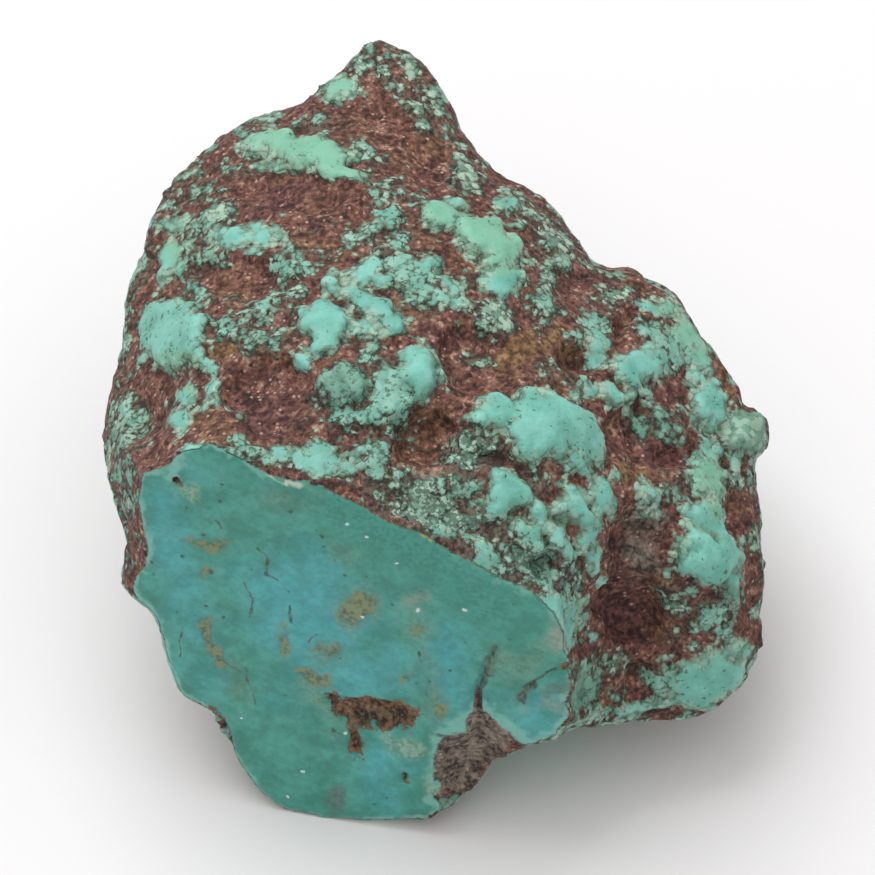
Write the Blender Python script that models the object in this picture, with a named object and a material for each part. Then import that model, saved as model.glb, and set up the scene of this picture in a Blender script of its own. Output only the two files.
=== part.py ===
"""Raw turquoise nugget: one natural stone, sawn flat in front and standing on a small flat underneath.

The stone is set out on a drawing plane that leans back over it. On that plane u runs to the right and v up,
and w stands out of it, rising 52 degrees above the table towards the front (-Y). All lengths of the drawing
are in millimetres. The form is made in four steps:

1. a smooth body between a front surface, given by spot heights, and a hidden one, given by planes, which meet
   at the stone's outline on the drawing plane;
2. lumps of turquoise raised on it and hollows of brown matrix sunk into it, drawn by hand on the side that
   the drawing shows and scattered with a fixed seed on the side that it doesn't;
3. one closed skin laid over that form and thinned out;
4. the two flat cuts, the sawn face and the flat that the stone stands on.
"""

import math

import bmesh
import bpy
import numpy as np

MM = 0.001
SEED = 4

# The drawing plane, in millimetres on the stone's own axes.
LEAN = math.radians(52.0)
ORIGIN = np.array([0.0, -6.4, 23.2])
ACROSS = np.array([1.0, 0.0, 0.0])
UP = np.array([0.0, math.sin(LEAN), math.cos(LEAN)])
OUT = np.array([0.0, -math.cos(LEAN), math.sin(LEAN)])

# The sawn face: a point on it and its normal, both on the drawing's axes.
SAWN_POINT = np.array([-7.0, -4.6, 19.0])
SAWN_NORMAL = np.array([-0.20, -0.66, 0.72]) / np.linalg.norm([-0.20, -0.66, 0.72])

# Outline: u, v and the depth w at which the front and the hidden surface meet.
OUTLINE_FREE = [
    (-4.8, 32.5, -13.5), (-1.5, 30.8, -12.5), (0.3, 28.9, -11.5), (1.4, 26.7, -10.5), (2.4, 24.1, -9.5),
    (4.5, 21.6, -8.5), (6.8, 20.3, -8.0), (8.9, 18.7, -8.0), (11.2, 16.0, -7.5), (12.8, 14.0, -7.0),
    (16.2, 13.0, -7.0), (19.2, 11.4, -6.5), (20.7, 9.4, -6.0), (22.6, 6.2, -5.0), (24.0, 4.0, -4.5),
    (24.4, 2.7, -4.0), (25.5, 2.5, -4.0), (26.5, 1.6, -4.0), (26.9, 0.3, -4.0), (26.7, -0.9, -4.0),
    (25.7, -1.7, -3.5), (25.5, -3.2, -3.5), (25.8, -6.7, -3.0), (26.4, -11.1, -3.0), (26.0, -15.1, -3.0),
    (25.3, -18.4, -3.0), (24.2, -20.4, -3.0),
    (21.6, -22.3, -3.0), (19.3, -22.8, -2.5), (16.2, -22.9, -1.5), (11.2, -23.0, 2.5), (9.8, -23.8, 4.0),
    (7.4, -24.5, 4.5),
    (5.2, -25.5, 0.8), (3.7, -27.0, -1.2), (2.4, -28.5, -2.6),
]
OUTLINE_SAWN = [
    (0.2, -30.0), (-2.1, -30.7), (-7.8, -30.8), (-11.1, -30.5), (-13.7, -29.1), (-15.8, -26.4),
    (-17.2, -23.9), (-18.4, -21.7), (-20.5, -20.5), (-21.6, -17.6), (-22.4, -14.4), (-23.9, -12.8),
]
OUTLINE_LEFT = [
    (-25.0, -11.1, 4.5), (-24.8, -8.0, 4.0), (-25.5, -5.1, 2.5), (-26.4, -1.9, 1.5), (-26.4, 2.4, 0.0),
    (-25.4, 6.3, -1.5), (-25.0, 10.4, -3.0), (-24.0, 14.0, -4.5), (-23.2, 17.3, -6.0), (-21.7, 20.4, -8.0),
    (-18.8, 23.4, -9.5), (-15.8, 25.6, -10.5), (-12.3, 26.7, -11.0), (-9.9, 28.2, -12.0),
    (-8.2, 29.6, -12.5), (-6.4, 31.4, -13.5),
]
OUTLINE_STEPS = 4
FRONT_ROUND = 6.5
HIDDEN_ROUND = 12.0
# A spot closer to the outline than this counts as this far inside it.
NEAREST_SPOT = 1.0
# Each surface stands at least this far off the outline's depth. The outline's depth at a place inside is a
# mean of those round it, weighted by a power of their nearness.
LEAST_DEPTH = 1.0
NEARNESS = 0.05
NEARNESS_POWER = 4

# Height of the front surface above the table, at points of the drawing.
SPOT_HEIGHTS = [
    (-19.8, 1.6, 35.5), (-15.0, 3.0, 37.3), (-8.6, 1.5, 37.5), (-19.0, 8.6, 36.0), (-11.0, 11.0, 38.2),
    (-3.0, 11.0, 38.2), (-11.0, 3.0, 38.0), (-3.0, 3.0, 37.4), (3.4, 3.0, 36.6), (9.0, 1.4, 34.6),
    (6.6, -5.0, 32.8), (9.8, -8.2, 30.2), (-11.0, 20.6, 37.2), (-4.6, 23.0, 36.6), (-4.8, 28.6, 34.5),
    (-15.8, 20.6, 35.0), (-19.0, 16.6, 34.6), (-22.2, 14.2, 31.5), (-23.6, 8.6, 31.0), (-24.0, 1.4, 30.5),
    (1.0, 19.0, 36.4), (6.6, 14.2, 35.2), (11.4, 11.0, 32.6), (16.2, 8.6, 30.0), (20.2, 5.4, 26.6),
    (22.6, 0.6, 24.0), (16.2, 1.4, 29.0), (19.4, -3.4, 25.8), (21.2, -9.8, 22.6), (22.4, -14.6, 17.6),
    (21.0, -19.4, 12.6), (16.2, -20.8, 12.0), (14.6, -9.8, 24.6), (16.0, -14.0, 17.8), (13.4, -18.2, 15.2),
    (11.6, -16.2, 19.6), (11.4, -20.6, 14.6),
]
# How far the stone stood past the saw cut before it was cut: 0 along the sawn face's edge, and less than 0 on
# the facet under it that the saw missed.
SAW_SPOTS = [
    # left end and the top edge
    (-24.2, -11.2, 0.0), (-23.1, -10.2, 0.0), (-22.9, -8.6, 0.0), (-23.4, -6.6, 0.0), (-23.6, -5.0, 0.0),
    (-23.3, -2.9, 0.0), (-22.2, -2.6, 0.0), (-20.8, -3.4, 0.0), (-20.9, -2.0, 0.0), (-20.0, -1.0, 0.0),
    (-17.8, -0.4, 0.0), (-15.3, -1.8, 0.0), (-13.2, -3.2, 0.0), (-10.9, -3.6, 0.0), (-8.9, -4.2, 0.0),
    (-6.1, -5.4, 0.0), (-4.1, -6.8, 0.0), (-1.3, -7.6, 0.0), (1.1, -9.2, 0.0), (4.4, -11.1, 0.0),
    (7.2, -12.3, 0.0), (9.2, -13.9, 0.0),
    # right end, with the tongue under the crescent groove
    (10.0, -15.4, 0.0), (10.5, -17.6, 0.0), (10.7, -20.0, 0.0), (10.7, -22.2, 0.0), (6.2, -23.9, 0.0),
    (4.9, -22.9, 0.0), (3.9, -21.8, 0.0),
    # the edge above the facet
    (2.8, -21.6, 0.0), (2.3, -23.5, 0.0), (0.4, -23.8, 0.0), (-0.4, -25.6, 0.0), (-0.3, -27.8, 0.0),
    (-0.6, -29.2, 0.0),
    # the facet
    (3.3, -22.4, -0.9), (3.5, -23.6, -1.8), (1.2, -24.9, -1.4), (0.6, -26.8, -1.2), (2.6, -25.9, -2.2),
    (4.8, -24.8, -2.2), (1.6, -28.0, -1.6),
    # inside the edge
    (-21.0, -8.0, 3.0), (-15.0, -8.0, 4.0), (-8.0, -11.0, 4.0), (0.0, -14.0, 4.0), (5.0, -17.0, 3.0),
    (8.0, -20.0, 1.5), (-18.0, -16.0, 4.0), (-8.0, -20.0, 4.0), (-12.0, -27.0, 4.0), (-5.0, -28.0, 4.0),
]

# The hidden side: planes by their normal and their distance from the stone's middle.
MIDDLE = np.array([0.0, 0.0, 18.0])
HIDDEN_PLANES = [
    ((0.20, 0.0, -0.98), 20.9),
    ((-0.20, 0.0, -0.98), 20.9),
    ((0.0, 0.20, -0.98), 20.9),
    ((0.05, 0.98, -0.18), 28.0),
    ((-0.85, 0.10, -0.50), 23.5),
    ((0.75, -0.10, -0.65), 24.0),
    ((-0.60, 0.75, -0.25), 27.0),
    ((0.65, 0.70, -0.30), 23.5),
    ((0.0, 0.65, -0.76), 26.0),
]
PLANE_BLEND = 1.5
# Depths further off than this many blends count as this far off, which keeps powers of e in reach.
FARTHEST = 60.0

# Lumps of turquoise: u, v, half length, half width, turn in degrees and rise.
LUMPS = [
    # solid lumps
    (-14.2, 24.3, 2.4, 1.0, 0, 0.6), (-12.2, 23.7, 4.2, 1.2, -8, 0.7), (-10.2, 23.6, 2.0, 1.5, -10, 0.7),
    (-8.2, 22.2, 2.8, 1.4, -55, 0.8),
    (-8.4, 29.0, 1.7, 0.9, 20, 0.4), (-21.6, 17.6, 1.8, 1.0, 15, 0.4), (-22.1, 14.9, 1.1, 1.8, 0, 0.5),
    (-17.0, 16.5, 1.5, 0.8, 0, 0.3), (-14.0, 16.7, 1.8, 0.8, 0, 0.3),
    (-18.9, 6.2, 1.6, 0.7, -30, 0.3), (-21.3, 2.2, 1.2, 1.0, 0, 0.4), (-18.0, 3.9, 1.7, 0.4, 0, 0.3),
    (-19.4, -0.6, 1.3, 0.6, 0, 0.3),
    (-8.8, 9.7, 2.9, 1.8, 0, 0.8), (-5.7, 11.2, 4.0, 1.2, -35, 0.7), (-5.6, 13.9, 1.3, 1.2, 0, 0.5),
    (-5.9, 9.3, 1.6, 1.0, 0, 0.4), (-3.4, 9.6, 1.0, 1.1, 0, 0.4), (-1.6, 5.4, 2.0, 2.3, 0, 1.7),
    (0.3, 18.4, 1.6, 1.7, 0, 0.6), (4.2, 16.4, 3.8, 1.6, -34, 0.9), (6.2, 15.0, 1.3, 1.1, 0, 0.5),
    (-0.6, 14.3, 1.5, 1.2, 0, 0.5), (1.2, 12.2, 0.8, 1.5, 20, 0.4), (5.6, 13.0, 1.8, 1.6, 0, 0.6),
    (5.0, 2.4, 2.3, 1.5, 0, 0.9), (9.0, 1.2, 3.8, 3.0, -12, 1.3), (6.0, -4.0, 2.2, 1.7, 0, 0.9),
    (5.0, -5.4, 2.0, 1.0, 0, 0.4), (7.2, -7.8, 1.3, 1.7, 10, 0.8), (4.1, -9.2, 1.1, 1.6, 0, 0.6),
    (8.7, -5.8, 1.2, 1.0, 0, 0.4), (10.0, -7.8, 2.8, 0.8, -53, 0.6), (11.3, -5.3, 1.6, 1.5, 0, 0.9),
    (13.5, -5.2, 0.9, 2.2, 0, 0.7), (12.8, -9.6, 0.8, 2.1, 15, 0.6), (9.8, -13.0, 2.4, 1.2, 0, 0.4),
    (11.2, -14.6, 1.0, 2.0, 0, 0.3), (0.7, -7.5, 1.1, 0.9, 0, 0.3),
    (14.2, 4.0, 2.6, 0.7, -12, 0.3), (13.4, 7.8, 1.0, 0.7, 0, 0.3), (16.5, 6.1, 2.0, 1.5, 0, 0.6),
    (18.6, 10.8, 2.4, 0.9, -20, 0.4), (20.8, 8.2, 1.0, 3.0, 25, 0.4), (22.2, 3.3, 1.4, 2.2, 15, 0.6),
    (22.2, -3.4, 1.2, 1.8, 0, 0.6), (21.8, -6.3, 1.9, 1.4, 0, 0.7), (21.9, -9.9, 3.1, 2.6, 0, 1.4),
    (17.6, -4.6, 0.7, 1.3, 20, 0.5), (21.6, -20.0, 3.8, 2.0, 25, 0.7), (16.2, -22.0, 3.6, 0.7, 0, 0.3),
    (24.3, -17.4, 0.8, 1.8, 10, 0.3),
    # lumps with small pits
    (-21.5, 8.6, 3.1, 3.1, 0, 1.2), (-20.6, 4.0, 1.2, 1.1, 0, 0.4), (5.7, 19.4, 1.5, 0.9, -10, 0.3),
    (12.0, -0.4, 1.9, 2.6, 0, 1.1), (-9.7, -1.5, 4.4, 1.6, -8, 0.5), (22.6, -0.6, 1.0, 1.5, 0, 0.4),
    (-14.9, 10.6, 1.6, 0.9, 0, 0.4), (-3.9, 18.0, 1.6, 1.1, 0, 0.4),
    # knobbly crusts
    (-3.7, 3.6, 2.0, 2.8, 0, 0.9), (-1.4, 13.4, 3.6, 1.3, -38, 0.5), (-11.7, 14.3, 1.9, 1.1, 0, 0.4),
    (-11.2, 15.8, 1.2, 0.6, 0, 0.3), (-16.2, 9.2, 1.6, 0.9, 0, 0.3),
    (-13.4, 8.4, 1.3, 0.8, 0, 0.3), (-5.4, 7.6, 0.9, 1.0, 0, 0.3), (-5.8, 1.9, 3.6, 1.1, 0, 0.5),
    (-1.6, 19.8, 1.0, 0.8, 0, 0.3), (-6.5, 16.9, 1.3, 0.9, 0, 0.3), (-2.9, 14.3, 1.3, 1.6, 0, 0.3),
    (-0.4, 12.3, 0.9, 1.5, 0, 0.3), (-15.8, -0.8, 1.9, 1.1, 0, 0.3), (-4.7, -2.4, 1.2, 2.7, 15, 0.4),
    (19.0, 7.4, 1.8, 1.6, 0, 0.4), (8.8, 10.8, 1.2, 1.4, 0, 0.4), (-20.4, 15.4, 0.9, 1.8, 0, 0.3),
    (0.2, -4.4, 1.0, 1.6, 0, 0.3),
    # thin crusts
    (-4.7, 21.3, 1.9, 0.6, 0, 0.3), (-6.0, 23.4, 1.5, 0.6, -15, 0.3), (-4.8, 30.8, 1.0, 0.7, 0, 0.3),
    (-1.7, 27.3, 3.0, 0.6, -42, 0.4), (-17.8, 18.6, 1.5, 1.5, 0, 0.4), (-25.3, 1.0, 0.9, 3.2, 0, 0.4),
    (4.9, 10.6, 1.4, 1.3, 0, 0.4), (9.4, 13.2, 0.9, 1.8, 0, 0.3), (2.6, 21.4, 1.4, 1.4, 0, 0.4),
    (7.8, 18.4, 1.2, 0.7, -30, 0.3), (9.8, 16.2, 1.2, 2.0, 40, 0.4), (9.2, 5.8, 1.0, 0.6, 0, 0.3),
    (11.6, 4.9, 0.9, 0.5, -15, 0.3), (14.2, 12.1, 1.4, 0.9, 0, 0.3), (25.2, 0.5, 2.0, 2.2, 0, 0.9),
    (24.2, -3.4, 1.0, 1.0, 0, 0.3), (18.6, -4.2, 1.0, 0.7, 0, 0.3), (14.3, -18.3, 1.1, 0.6, 0, 0.5),
    # worn lumps
    (-7.6, 4.4, 2.3, 2.2, 0, 1.2), (18.6, 1.8, 1.8, 1.1, 0, 0.4), (12.2, -20.2, 1.6, 2.0, 0, 0.3),
    (23.8, -12.6, 1.3, 1.3, 0, 0.6),
]
# Hollows in the matrix: u, v, half length, half width, turn in degrees and depth.
HOLLOWS = [
    (-11.8, 20.6, 4.8, 2.2, -10, 0.9), (-15.8, 13.6, 4.8, 1.6, 0, 0.9), (-13.4, 4.2, 3.8, 3.4, 0, 1.3),
    (3.4, 7.0, 4.0, 3.0, -20, 1.4), (12.2, 7.0, 2.6, 1.4, -15, 2.0), (-1.0, 0.6, 2.8, 2.4, 0, 2.2),
    (15.4, 9.6, 0.7, 1.9, 0, 1.3), (16.2, 0.6, 2.4, 3.2, 0, 1.4), (19.6, -1.0, 2.0, 1.6, 0, 1.6),
    (5.0, -1.4, 1.8, 0.8, 0, 1.0), (8.8, -10.2, 1.5, 1.4, 0, 1.4), (16.2, -8.2, 2.0, 3.4, 0, 2.0),
    (15.8, -13.8, 2.4, 3.4, 0, 2.6), (16.6, -19.4, 1.2, 1.6, 0, 1.3), (24.2, -6.2, 0.8, 1.4, 0, 0.9),
    (-23.8, 1.4, 1.4, 3.2, 0, 0.8), (-3.0, 24.6, 5.0, 2.0, -45, 0.6),
]
LUMP_BLEND = 0.25
# A patch reaches its full height this many heights in from its border.
SIDE = 0.9
# The smooth body's surface lies this far above the matrix between lumps. The patches are drawn at their
# places on a surface that stands the anchor above it. Beside the sawn face the relief fades out over a margin,
# and nothing reaches further past the outline than the overhang.
LEVEL = 0.7
ANCHOR = 0.5
SAW_MARGIN = 1.2
OVERHANG = 1.0
WANDER = 0.45
WANDER_SIZE = 2.2
# On the outline only this share of the relief is left, and all of it from this far inside.
RIM_SHARE = 0.15
RIM_REACH = 3.0
# The scattered relief of the hidden side gives way to the drawn one over this depth in front of the outline.
VIEW_BLEND = 2.0

# Lumps and hollows on the hidden side: how many, the draw that they come from, their smallest and largest
# radius, and the largest rise or depth.
HIDDEN_LUMPS = (170, 20, 1.5, 4.2, 2.2)
HIDDEN_HOLLOWS = (34, 21, 2.0, 4.5, 1.8)
# The lowest of them is this share of its draw's rise, for its size.
LOWEST = 0.6

# The skin: the lowest and highest corner of the grid that it is laid on, the grid's spacing, and the share of
# the skin's triangles that is kept.
GRID_LOW = np.array([-32.0, -36.0, -50.0])
GRID_HIGH = np.array([32.0, 37.0, 27.0])
GRID = 0.8
KEPT = 0.21
# The relief reaches no further from the smooth body's surface than this.
RELIEF_REACH = 5.0
# The field is taken to be at least this steep, and no grid place lies nearer to the skin than this.
FLATTEST = 0.02
NEAREST_SKIN = 0.02
# Noise repeats after this many hills.
LATTICE = 32
# A corner this near to a cut's plane lies on it, and corners of a cut that lie nearer together than the merge
# become one, so that the cut leaves no slivers.
ON_PLANE = 0.0001
CUT_MERGE = 0.15

STONE_COLOUR = (0.20, 0.52, 0.44, 1.0)
STONE_ROUGHNESS = 0.55


def ease(low, high, x):
    """0 below low, 1 above high, and a smooth step between them."""
    t = np.clip((x - low) / (high - low), 0.0, 1.0)
    return t * t * (3.0 - 2.0 * t)


def noise(points, size, salt):
    """Smooth noise from -1 to 1 at points of any shape (..., 3), with hills about size apart."""
    lattice = np.random.default_rng(SEED + salt).uniform(-1.0, 1.0, (LATTICE, LATTICE, LATTICE))
    place = points / size + 2.0 * LATTICE
    corner = np.floor(place).astype(int)
    part = place - corner
    part = part * part * (3.0 - 2.0 * part)
    total = 0.0
    for step in np.ndindex(2, 2, 2):
        i, j, k = ((corner[..., a] + step[a]) % LATTICE for a in range(3))
        weight = 1.0
        for a in range(3):
            weight = weight * (part[..., a] if step[a] else 1.0 - part[..., a])
        total = total + weight * lattice[i, j, k]
    return total


def sawn_depth(u, v):
    """Depth w of the sawn face's plane."""
    nu, nv, nw = SAWN_NORMAL
    return SAWN_POINT[2] - (nu * (u - SAWN_POINT[0]) + nv * (v - SAWN_POINT[1])) / nw


def depth_of_height(v, height):
    """Depth w of a point that stands this high above the table."""
    return (height - ORIGIN[2] - v * UP[2]) / OUT[2]


def smooth_closed(points, steps):
    """A smooth closed curve through the points (Catmull-Rom), with steps places in each stretch."""
    p = np.asarray(points)
    before, after, beyond = np.roll(p, 1, 0), np.roll(p, -1, 0), np.roll(p, -2, 0)
    rows = []
    for t in np.arange(steps) / steps:
        rows.append(0.5 * (2 * p + (after - before) * t + (2 * before - 5 * p + 4 * after - beyond) * t**2
                           + (3 * p - before - 3 * after + beyond) * t**3))
    return np.stack(rows, 1).reshape(-1, 3)


def outline():
    """The stone's outline on the drawing, as places u, v, w round it."""
    sawn = [(u, v, sawn_depth(u, v)) for u, v in OUTLINE_SAWN]
    return smooth_closed(OUTLINE_FREE + sawn + OUTLINE_LEFT, OUTLINE_STEPS)


def inset_and_edge_depth(u, v, curve):
    """How far each point lies inside the outline, and the outline's depth w beside it."""
    start, end = curve, np.roll(curve, -1, 0)
    nearest = np.full(u.shape, np.inf)
    weight_sum = np.zeros(u.shape)
    depth_sum = np.zeros(u.shape)
    crossings = np.zeros(u.shape, int)
    for (u0, v0, w0), (u1, v1, w1) in zip(start, end):
        du, dv = u1 - u0, v1 - v0
        t = np.clip(((u - u0) * du + (v - v0) * dv) / (du * du + dv * dv), 0.0, 1.0)
        gap = np.hypot(u - u0 - t * du, v - v0 - t * dv)
        nearest = np.minimum(nearest, gap)
        weight = 1.0 / (gap + NEARNESS) ** NEARNESS_POWER
        weight_sum += weight
        depth_sum += weight * (w0 + t * (w1 - w0))
        if dv != 0.0:
            crossings += ((v0 <= v) != (v1 <= v)) & (u < u0 + (v - v0) * du / dv)
    return np.where(crossings % 2 == 1, nearest, -nearest), depth_sum / weight_sum


def lean_at(inset, rounding):
    """How far the surface leans over: 0 inside the rounding, 1 on the outline and more outside it."""
    return np.maximum(1.0 - inset / rounding, 0.0)


def saw_spots():
    """The front's places round the saw cut, raised so that the rounded surface passes through them."""
    u, v, past = np.array(SAW_SPOTS).T
    inset, edge = inset_and_edge_depth(u, v, outline())
    lean = lean_at(np.maximum(inset, NEAREST_SPOT), FRONT_ROUND)
    return np.column_stack([u, v, edge + (sawn_depth(u, v) + past - edge) / np.sqrt(1.0 - lean**2)])


def front_depth(u, v):
    """Depth w of the front surface, drawn like a sheet through all the spot heights."""
    spots = [(su, sv, depth_of_height(sv, height)) for su, sv, height in SPOT_HEIGHTS]
    spots = np.concatenate([spots, saw_spots()])
    place, depth = spots[:, :2], spots[:, 2]
    count = len(spots)
    apart = np.linalg.norm(place[:, None] - place[None], axis=2)
    system = np.zeros((count + 3, count + 3))
    system[:count, :count] = apart
    system[:count, count:] = np.column_stack([np.ones(count), place])
    system[count:, :count] = system[:count, count:].T
    answer = np.linalg.solve(system, np.append(depth, np.zeros(3)))
    result = answer[count] + answer[count + 1] * u + answer[count + 2] * v
    for (su, sv), strength in zip(place, answer):
        result = result + strength * np.hypot(u - su, v - sv)
    return result


def hidden_depth(u, v):
    """Depth w of the hidden side, a rounded meeting of its planes."""
    middle = (MIDDLE - ORIGIN) @ np.column_stack([ACROSS, UP, OUT])
    total = 0.0
    for normal, distance in HIDDEN_PLANES:
        nu, nv, nw = (np.asarray(normal) / np.linalg.norm(normal)) @ np.column_stack([ACROSS, UP, OUT])
        depth = middle[2] + (distance - nu * (u - middle[0]) - nv * (v - middle[1])) / nw
        total = total + np.exp(np.clip(depth / PLANE_BLEND, -FARTHEST, FARTHEST))
    return PLANE_BLEND * np.log(total)


def body(u, v, w):
    """The smooth body: below 0 inside it, with u and v of shape (..., 1) against the depths w."""
    inset, edge = inset_and_edge_depth(u, v, outline())
    front, hidden = front_depth(u, v), hidden_depth(u, v)
    outer = (w - edge) / np.maximum(front - edge, LEAST_DEPTH)
    inner = (edge - w) / np.maximum(edge - hidden, LEAST_DEPTH)
    rise = np.where(w > edge, outer, inner)
    rounding = np.where((w > edge) | (inset < 0.0), FRONT_ROUND, HIDDEN_ROUND)
    return np.sqrt(rise**2 + lean_at(inset, rounding) ** 2) - 1.0, edge, inset


def dome(depth_in, height, size):
    """Height of a round-topped patch, this far inside its border, in millimetres."""
    part = np.clip(depth_in / min(size, SIDE * height), 0.0, 1.0)
    return height * (1.0 - (1.0 - part) ** 2)


def patches(u, v, rows):
    """Height of a set of rounded patches: the highest at each point, softly joined."""
    total = np.zeros(np.broadcast(u, v).shape)
    for pu, pv, length, width, turn, height in rows:
        c, s = math.cos(math.radians(turn)), math.sin(math.radians(turn))
        along, across = (u - pu) * c + (v - pv) * s, (v - pv) * c - (u - pu) * s
        depth_in = (1.0 - np.hypot(along / length, across / width)) * min(length, width)
        total = total + np.expm1(dome(depth_in, height, min(length, width)) / LUMP_BLEND)
    return LUMP_BLEND * np.log1p(total)


def scattered(points, count, salt, smallest, largest, rise):
    """Height of round patches scattered over the stone by direction from its middle."""
    rng = np.random.default_rng(SEED + salt)
    middle = (MIDDLE - ORIGIN) @ np.column_stack([ACROSS, UP, OUT])
    arm = points - middle
    reach = np.linalg.norm(arm, axis=-1)
    total = np.zeros(reach.shape)
    for _ in range(count):
        way = rng.normal(size=3)
        way /= np.linalg.norm(way)
        size = rng.uniform(smallest, largest)
        height = rise * rng.uniform(LOWEST, 1.0) * math.sqrt(size / largest)
        apart = np.sqrt(np.maximum(2.0 * reach * (reach - arm @ way), 0.0))
        total = total + np.expm1(dome(size - apart, height, size) / LUMP_BLEND)
    return LUMP_BLEND * np.log1p(total)


def relief(points, edge, inset):
    """How far the surface stands proud of the smooth body, over points u, v, w on it."""
    sway = np.stack([noise(points, WANDER_SIZE, salt) for salt in (1, 2, 3)], -1) * WANDER
    sway += np.stack([noise(points, WANDER_SIZE / 2, salt) for salt in (4, 5, 6)], -1) * WANDER / 2
    moved = points + sway
    drawn = patches(moved[..., 0], moved[..., 1], LUMPS) - patches(moved[..., 0], moved[..., 1], HOLLOWS)
    unseen = scattered(moved, *HIDDEN_LUMPS) - scattered(moved, *HIDDEN_HOLLOWS)
    proud = unseen + (drawn - unseen) * ease(0.0, VIEW_BLEND, points[..., 2] - edge) - LEVEL
    behind_saw = (SAWN_POINT - points) @ SAWN_NORMAL
    share = RIM_SHARE + (1.0 - RIM_SHARE) * ease(0.0, RIM_REACH, inset)
    return proud * ease(0.0, SAW_MARGIN, behind_saw) * share


def form():
    """The stone's form on the grid, as a field that is below 0 inside it."""
    axes = [np.arange(a, b, GRID) for a, b in zip(GRID_LOW, GRID_HIGH)]
    u, v, w = np.meshgrid(*axes, indexing="ij", sparse=True)
    u, v = np.broadcast_arrays(u, v)
    smooth, edge, inset = body(u, v, w)
    gradient = np.stack(np.gradient(smooth, GRID), -1)
    slope = np.maximum(np.linalg.norm(gradient, axis=-1), FLATTEST)
    field = smooth / slope
    near = (np.abs(field) < RELIEF_REACH) & (smooth < 1.0) & (inset > -OVERHANG)
    outward = gradient[near] / slope[near][:, None]
    foot = np.stack(np.broadcast_arrays(u, v, w), -1)[near] - (field[near][:, None] - ANCHOR) * outward
    field[near] -= relief(foot, *(np.broadcast_to(a, field.shape)[near] for a in (edge, inset)))
    return field


def no_corner_touching(inside):
    """Fills grid places until no two inside meet only across a diagonal, which would pinch the skin."""
    while True:
        before = inside.sum()
        for a, b in ((0, 1), (1, 2), (0, 2)):
            grid = np.moveaxis(inside, (a, b), (0, 1))
            p, q, r, s = grid[:-1, :-1], grid[1:, 1:], grid[1:, :-1], grid[:-1, 1:]
            slanted = (p == q) & (r == s) & (p != r)
            for corner in (p, q, r, s):
                corner |= slanted
        if inside.sum() == before:
            return inside


def skin(field):
    """A closed net of four-sided faces over the field's zero surface, with one vertex in each grid cell."""
    inside = no_corner_touching(field < 0.0)
    field = np.where(inside, np.minimum(field, -NEAREST_SKIN), np.maximum(field, NEAREST_SKIN))
    cells, places, faces = [], [], []
    for axis in range(3):
        here = tuple(slice(0, -1) if a == axis else slice(None) for a in range(3))
        there = tuple(slice(1, None) if a == axis else slice(None) for a in range(3))
        crossed = inside[here] != inside[there]
        start = np.argwhere(crossed)
        near, far = field[here][crossed], field[there][crossed]
        place = start.astype(float)
        place[:, axis] += near / (near - far)
        second, third = np.eye(3, dtype=int)[(axis + 1) % 3], np.eye(3, dtype=int)[(axis + 2) % 3]
        around = [start, start - second, start - second - third, start - third]
        face = np.stack([np.ravel_multi_index(cell.T, field.shape) for cell in around], 1)
        faces.append(np.where((near < 0.0)[:, None], face, face[:, ::-1]))
        cells.append(faces[-1].ravel())
        places.append(np.repeat(place, 4, 0))
    used, index = np.unique(np.concatenate(cells), return_inverse=True)
    places = np.concatenate(places)
    count = np.bincount(index)
    middle = np.stack([np.bincount(index, places[:, a]) / count for a in range(3)], 1)
    return GRID_LOW + middle * GRID, index.reshape(-1, 4)


def to_stone(points):
    """Drawing places u, v, w as places on the stone's own axes."""
    return ORIGIN + points @ np.stack([ACROSS, UP, OUT])


def keep_largest(mesh):
    """Deletes every loose crumb that the cuts leave, so that one closed body is left."""
    bm = bmesh.new()
    bm.from_mesh(mesh)
    left, groups = set(bm.verts), []
    while left:
        group, edge = set(), [left.pop()]
        while edge:
            vert = edge.pop()
            group.add(vert)
            fresh = {e.other_vert(vert) for e in vert.link_edges} & left
            left -= fresh
            edge.extend(fresh)
        groups.append(group)
    groups.sort(key=len)
    for group in groups[:-1]:
        bmesh.ops.delete(bm, geom=list(group), context="VERTS")
    bm.to_mesh(mesh)
    bm.free()


def thinned(obj):
    """The object's mesh with only the share KEPT of its triangles."""
    modifier = obj.modifiers.new("Thin", "DECIMATE")
    modifier.ratio = KEPT
    modifier.use_collapse_triangulate = True
    seen = obj.evaluated_get(bpy.context.evaluated_depsgraph_get())
    mesh = bpy.data.meshes.new_from_object(seen)
    obj.modifiers.clear()
    return mesh


def cut_flat(mesh, point, normal):
    """Cuts away what lies past a plane and closes the cut with one flat face."""
    bm = bmesh.new()
    bm.from_mesh(mesh)
    cut = bmesh.ops.bisect_plane(bm, geom=bm.verts[:] + bm.edges[:] + bm.faces[:], dist=ON_PLANE * MM,
                                 plane_co=point, plane_no=normal, clear_outer=True)
    rim = [item for item in cut["geom_cut"] if isinstance(item, bmesh.types.BMEdge)]
    flat = bmesh.ops.holes_fill(bm, edges=[edge for edge in rim if edge.is_boundary], sides=0)
    for face in flat["faces"]:
        face.smooth = False
    corners = [item for item in cut["geom_cut"] if isinstance(item, bmesh.types.BMVert)]
    bmesh.ops.remove_doubles(bm, verts=corners, dist=CUT_MERGE * MM)
    bmesh.ops.recalc_face_normals(bm, faces=bm.faces[:])
    bm.to_mesh(mesh)
    bm.free()


def stone_material():
    material = bpy.data.materials.new("turquoise_stone")
    material.use_nodes = True
    shader = material.node_tree.nodes["Principled BSDF"]
    shader.inputs["Base Color"].default_value = STONE_COLOUR
    shader.inputs["Roughness"].default_value = STONE_ROUGHNESS
    shader.inputs["Metallic"].default_value = 0.0
    return material


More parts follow.
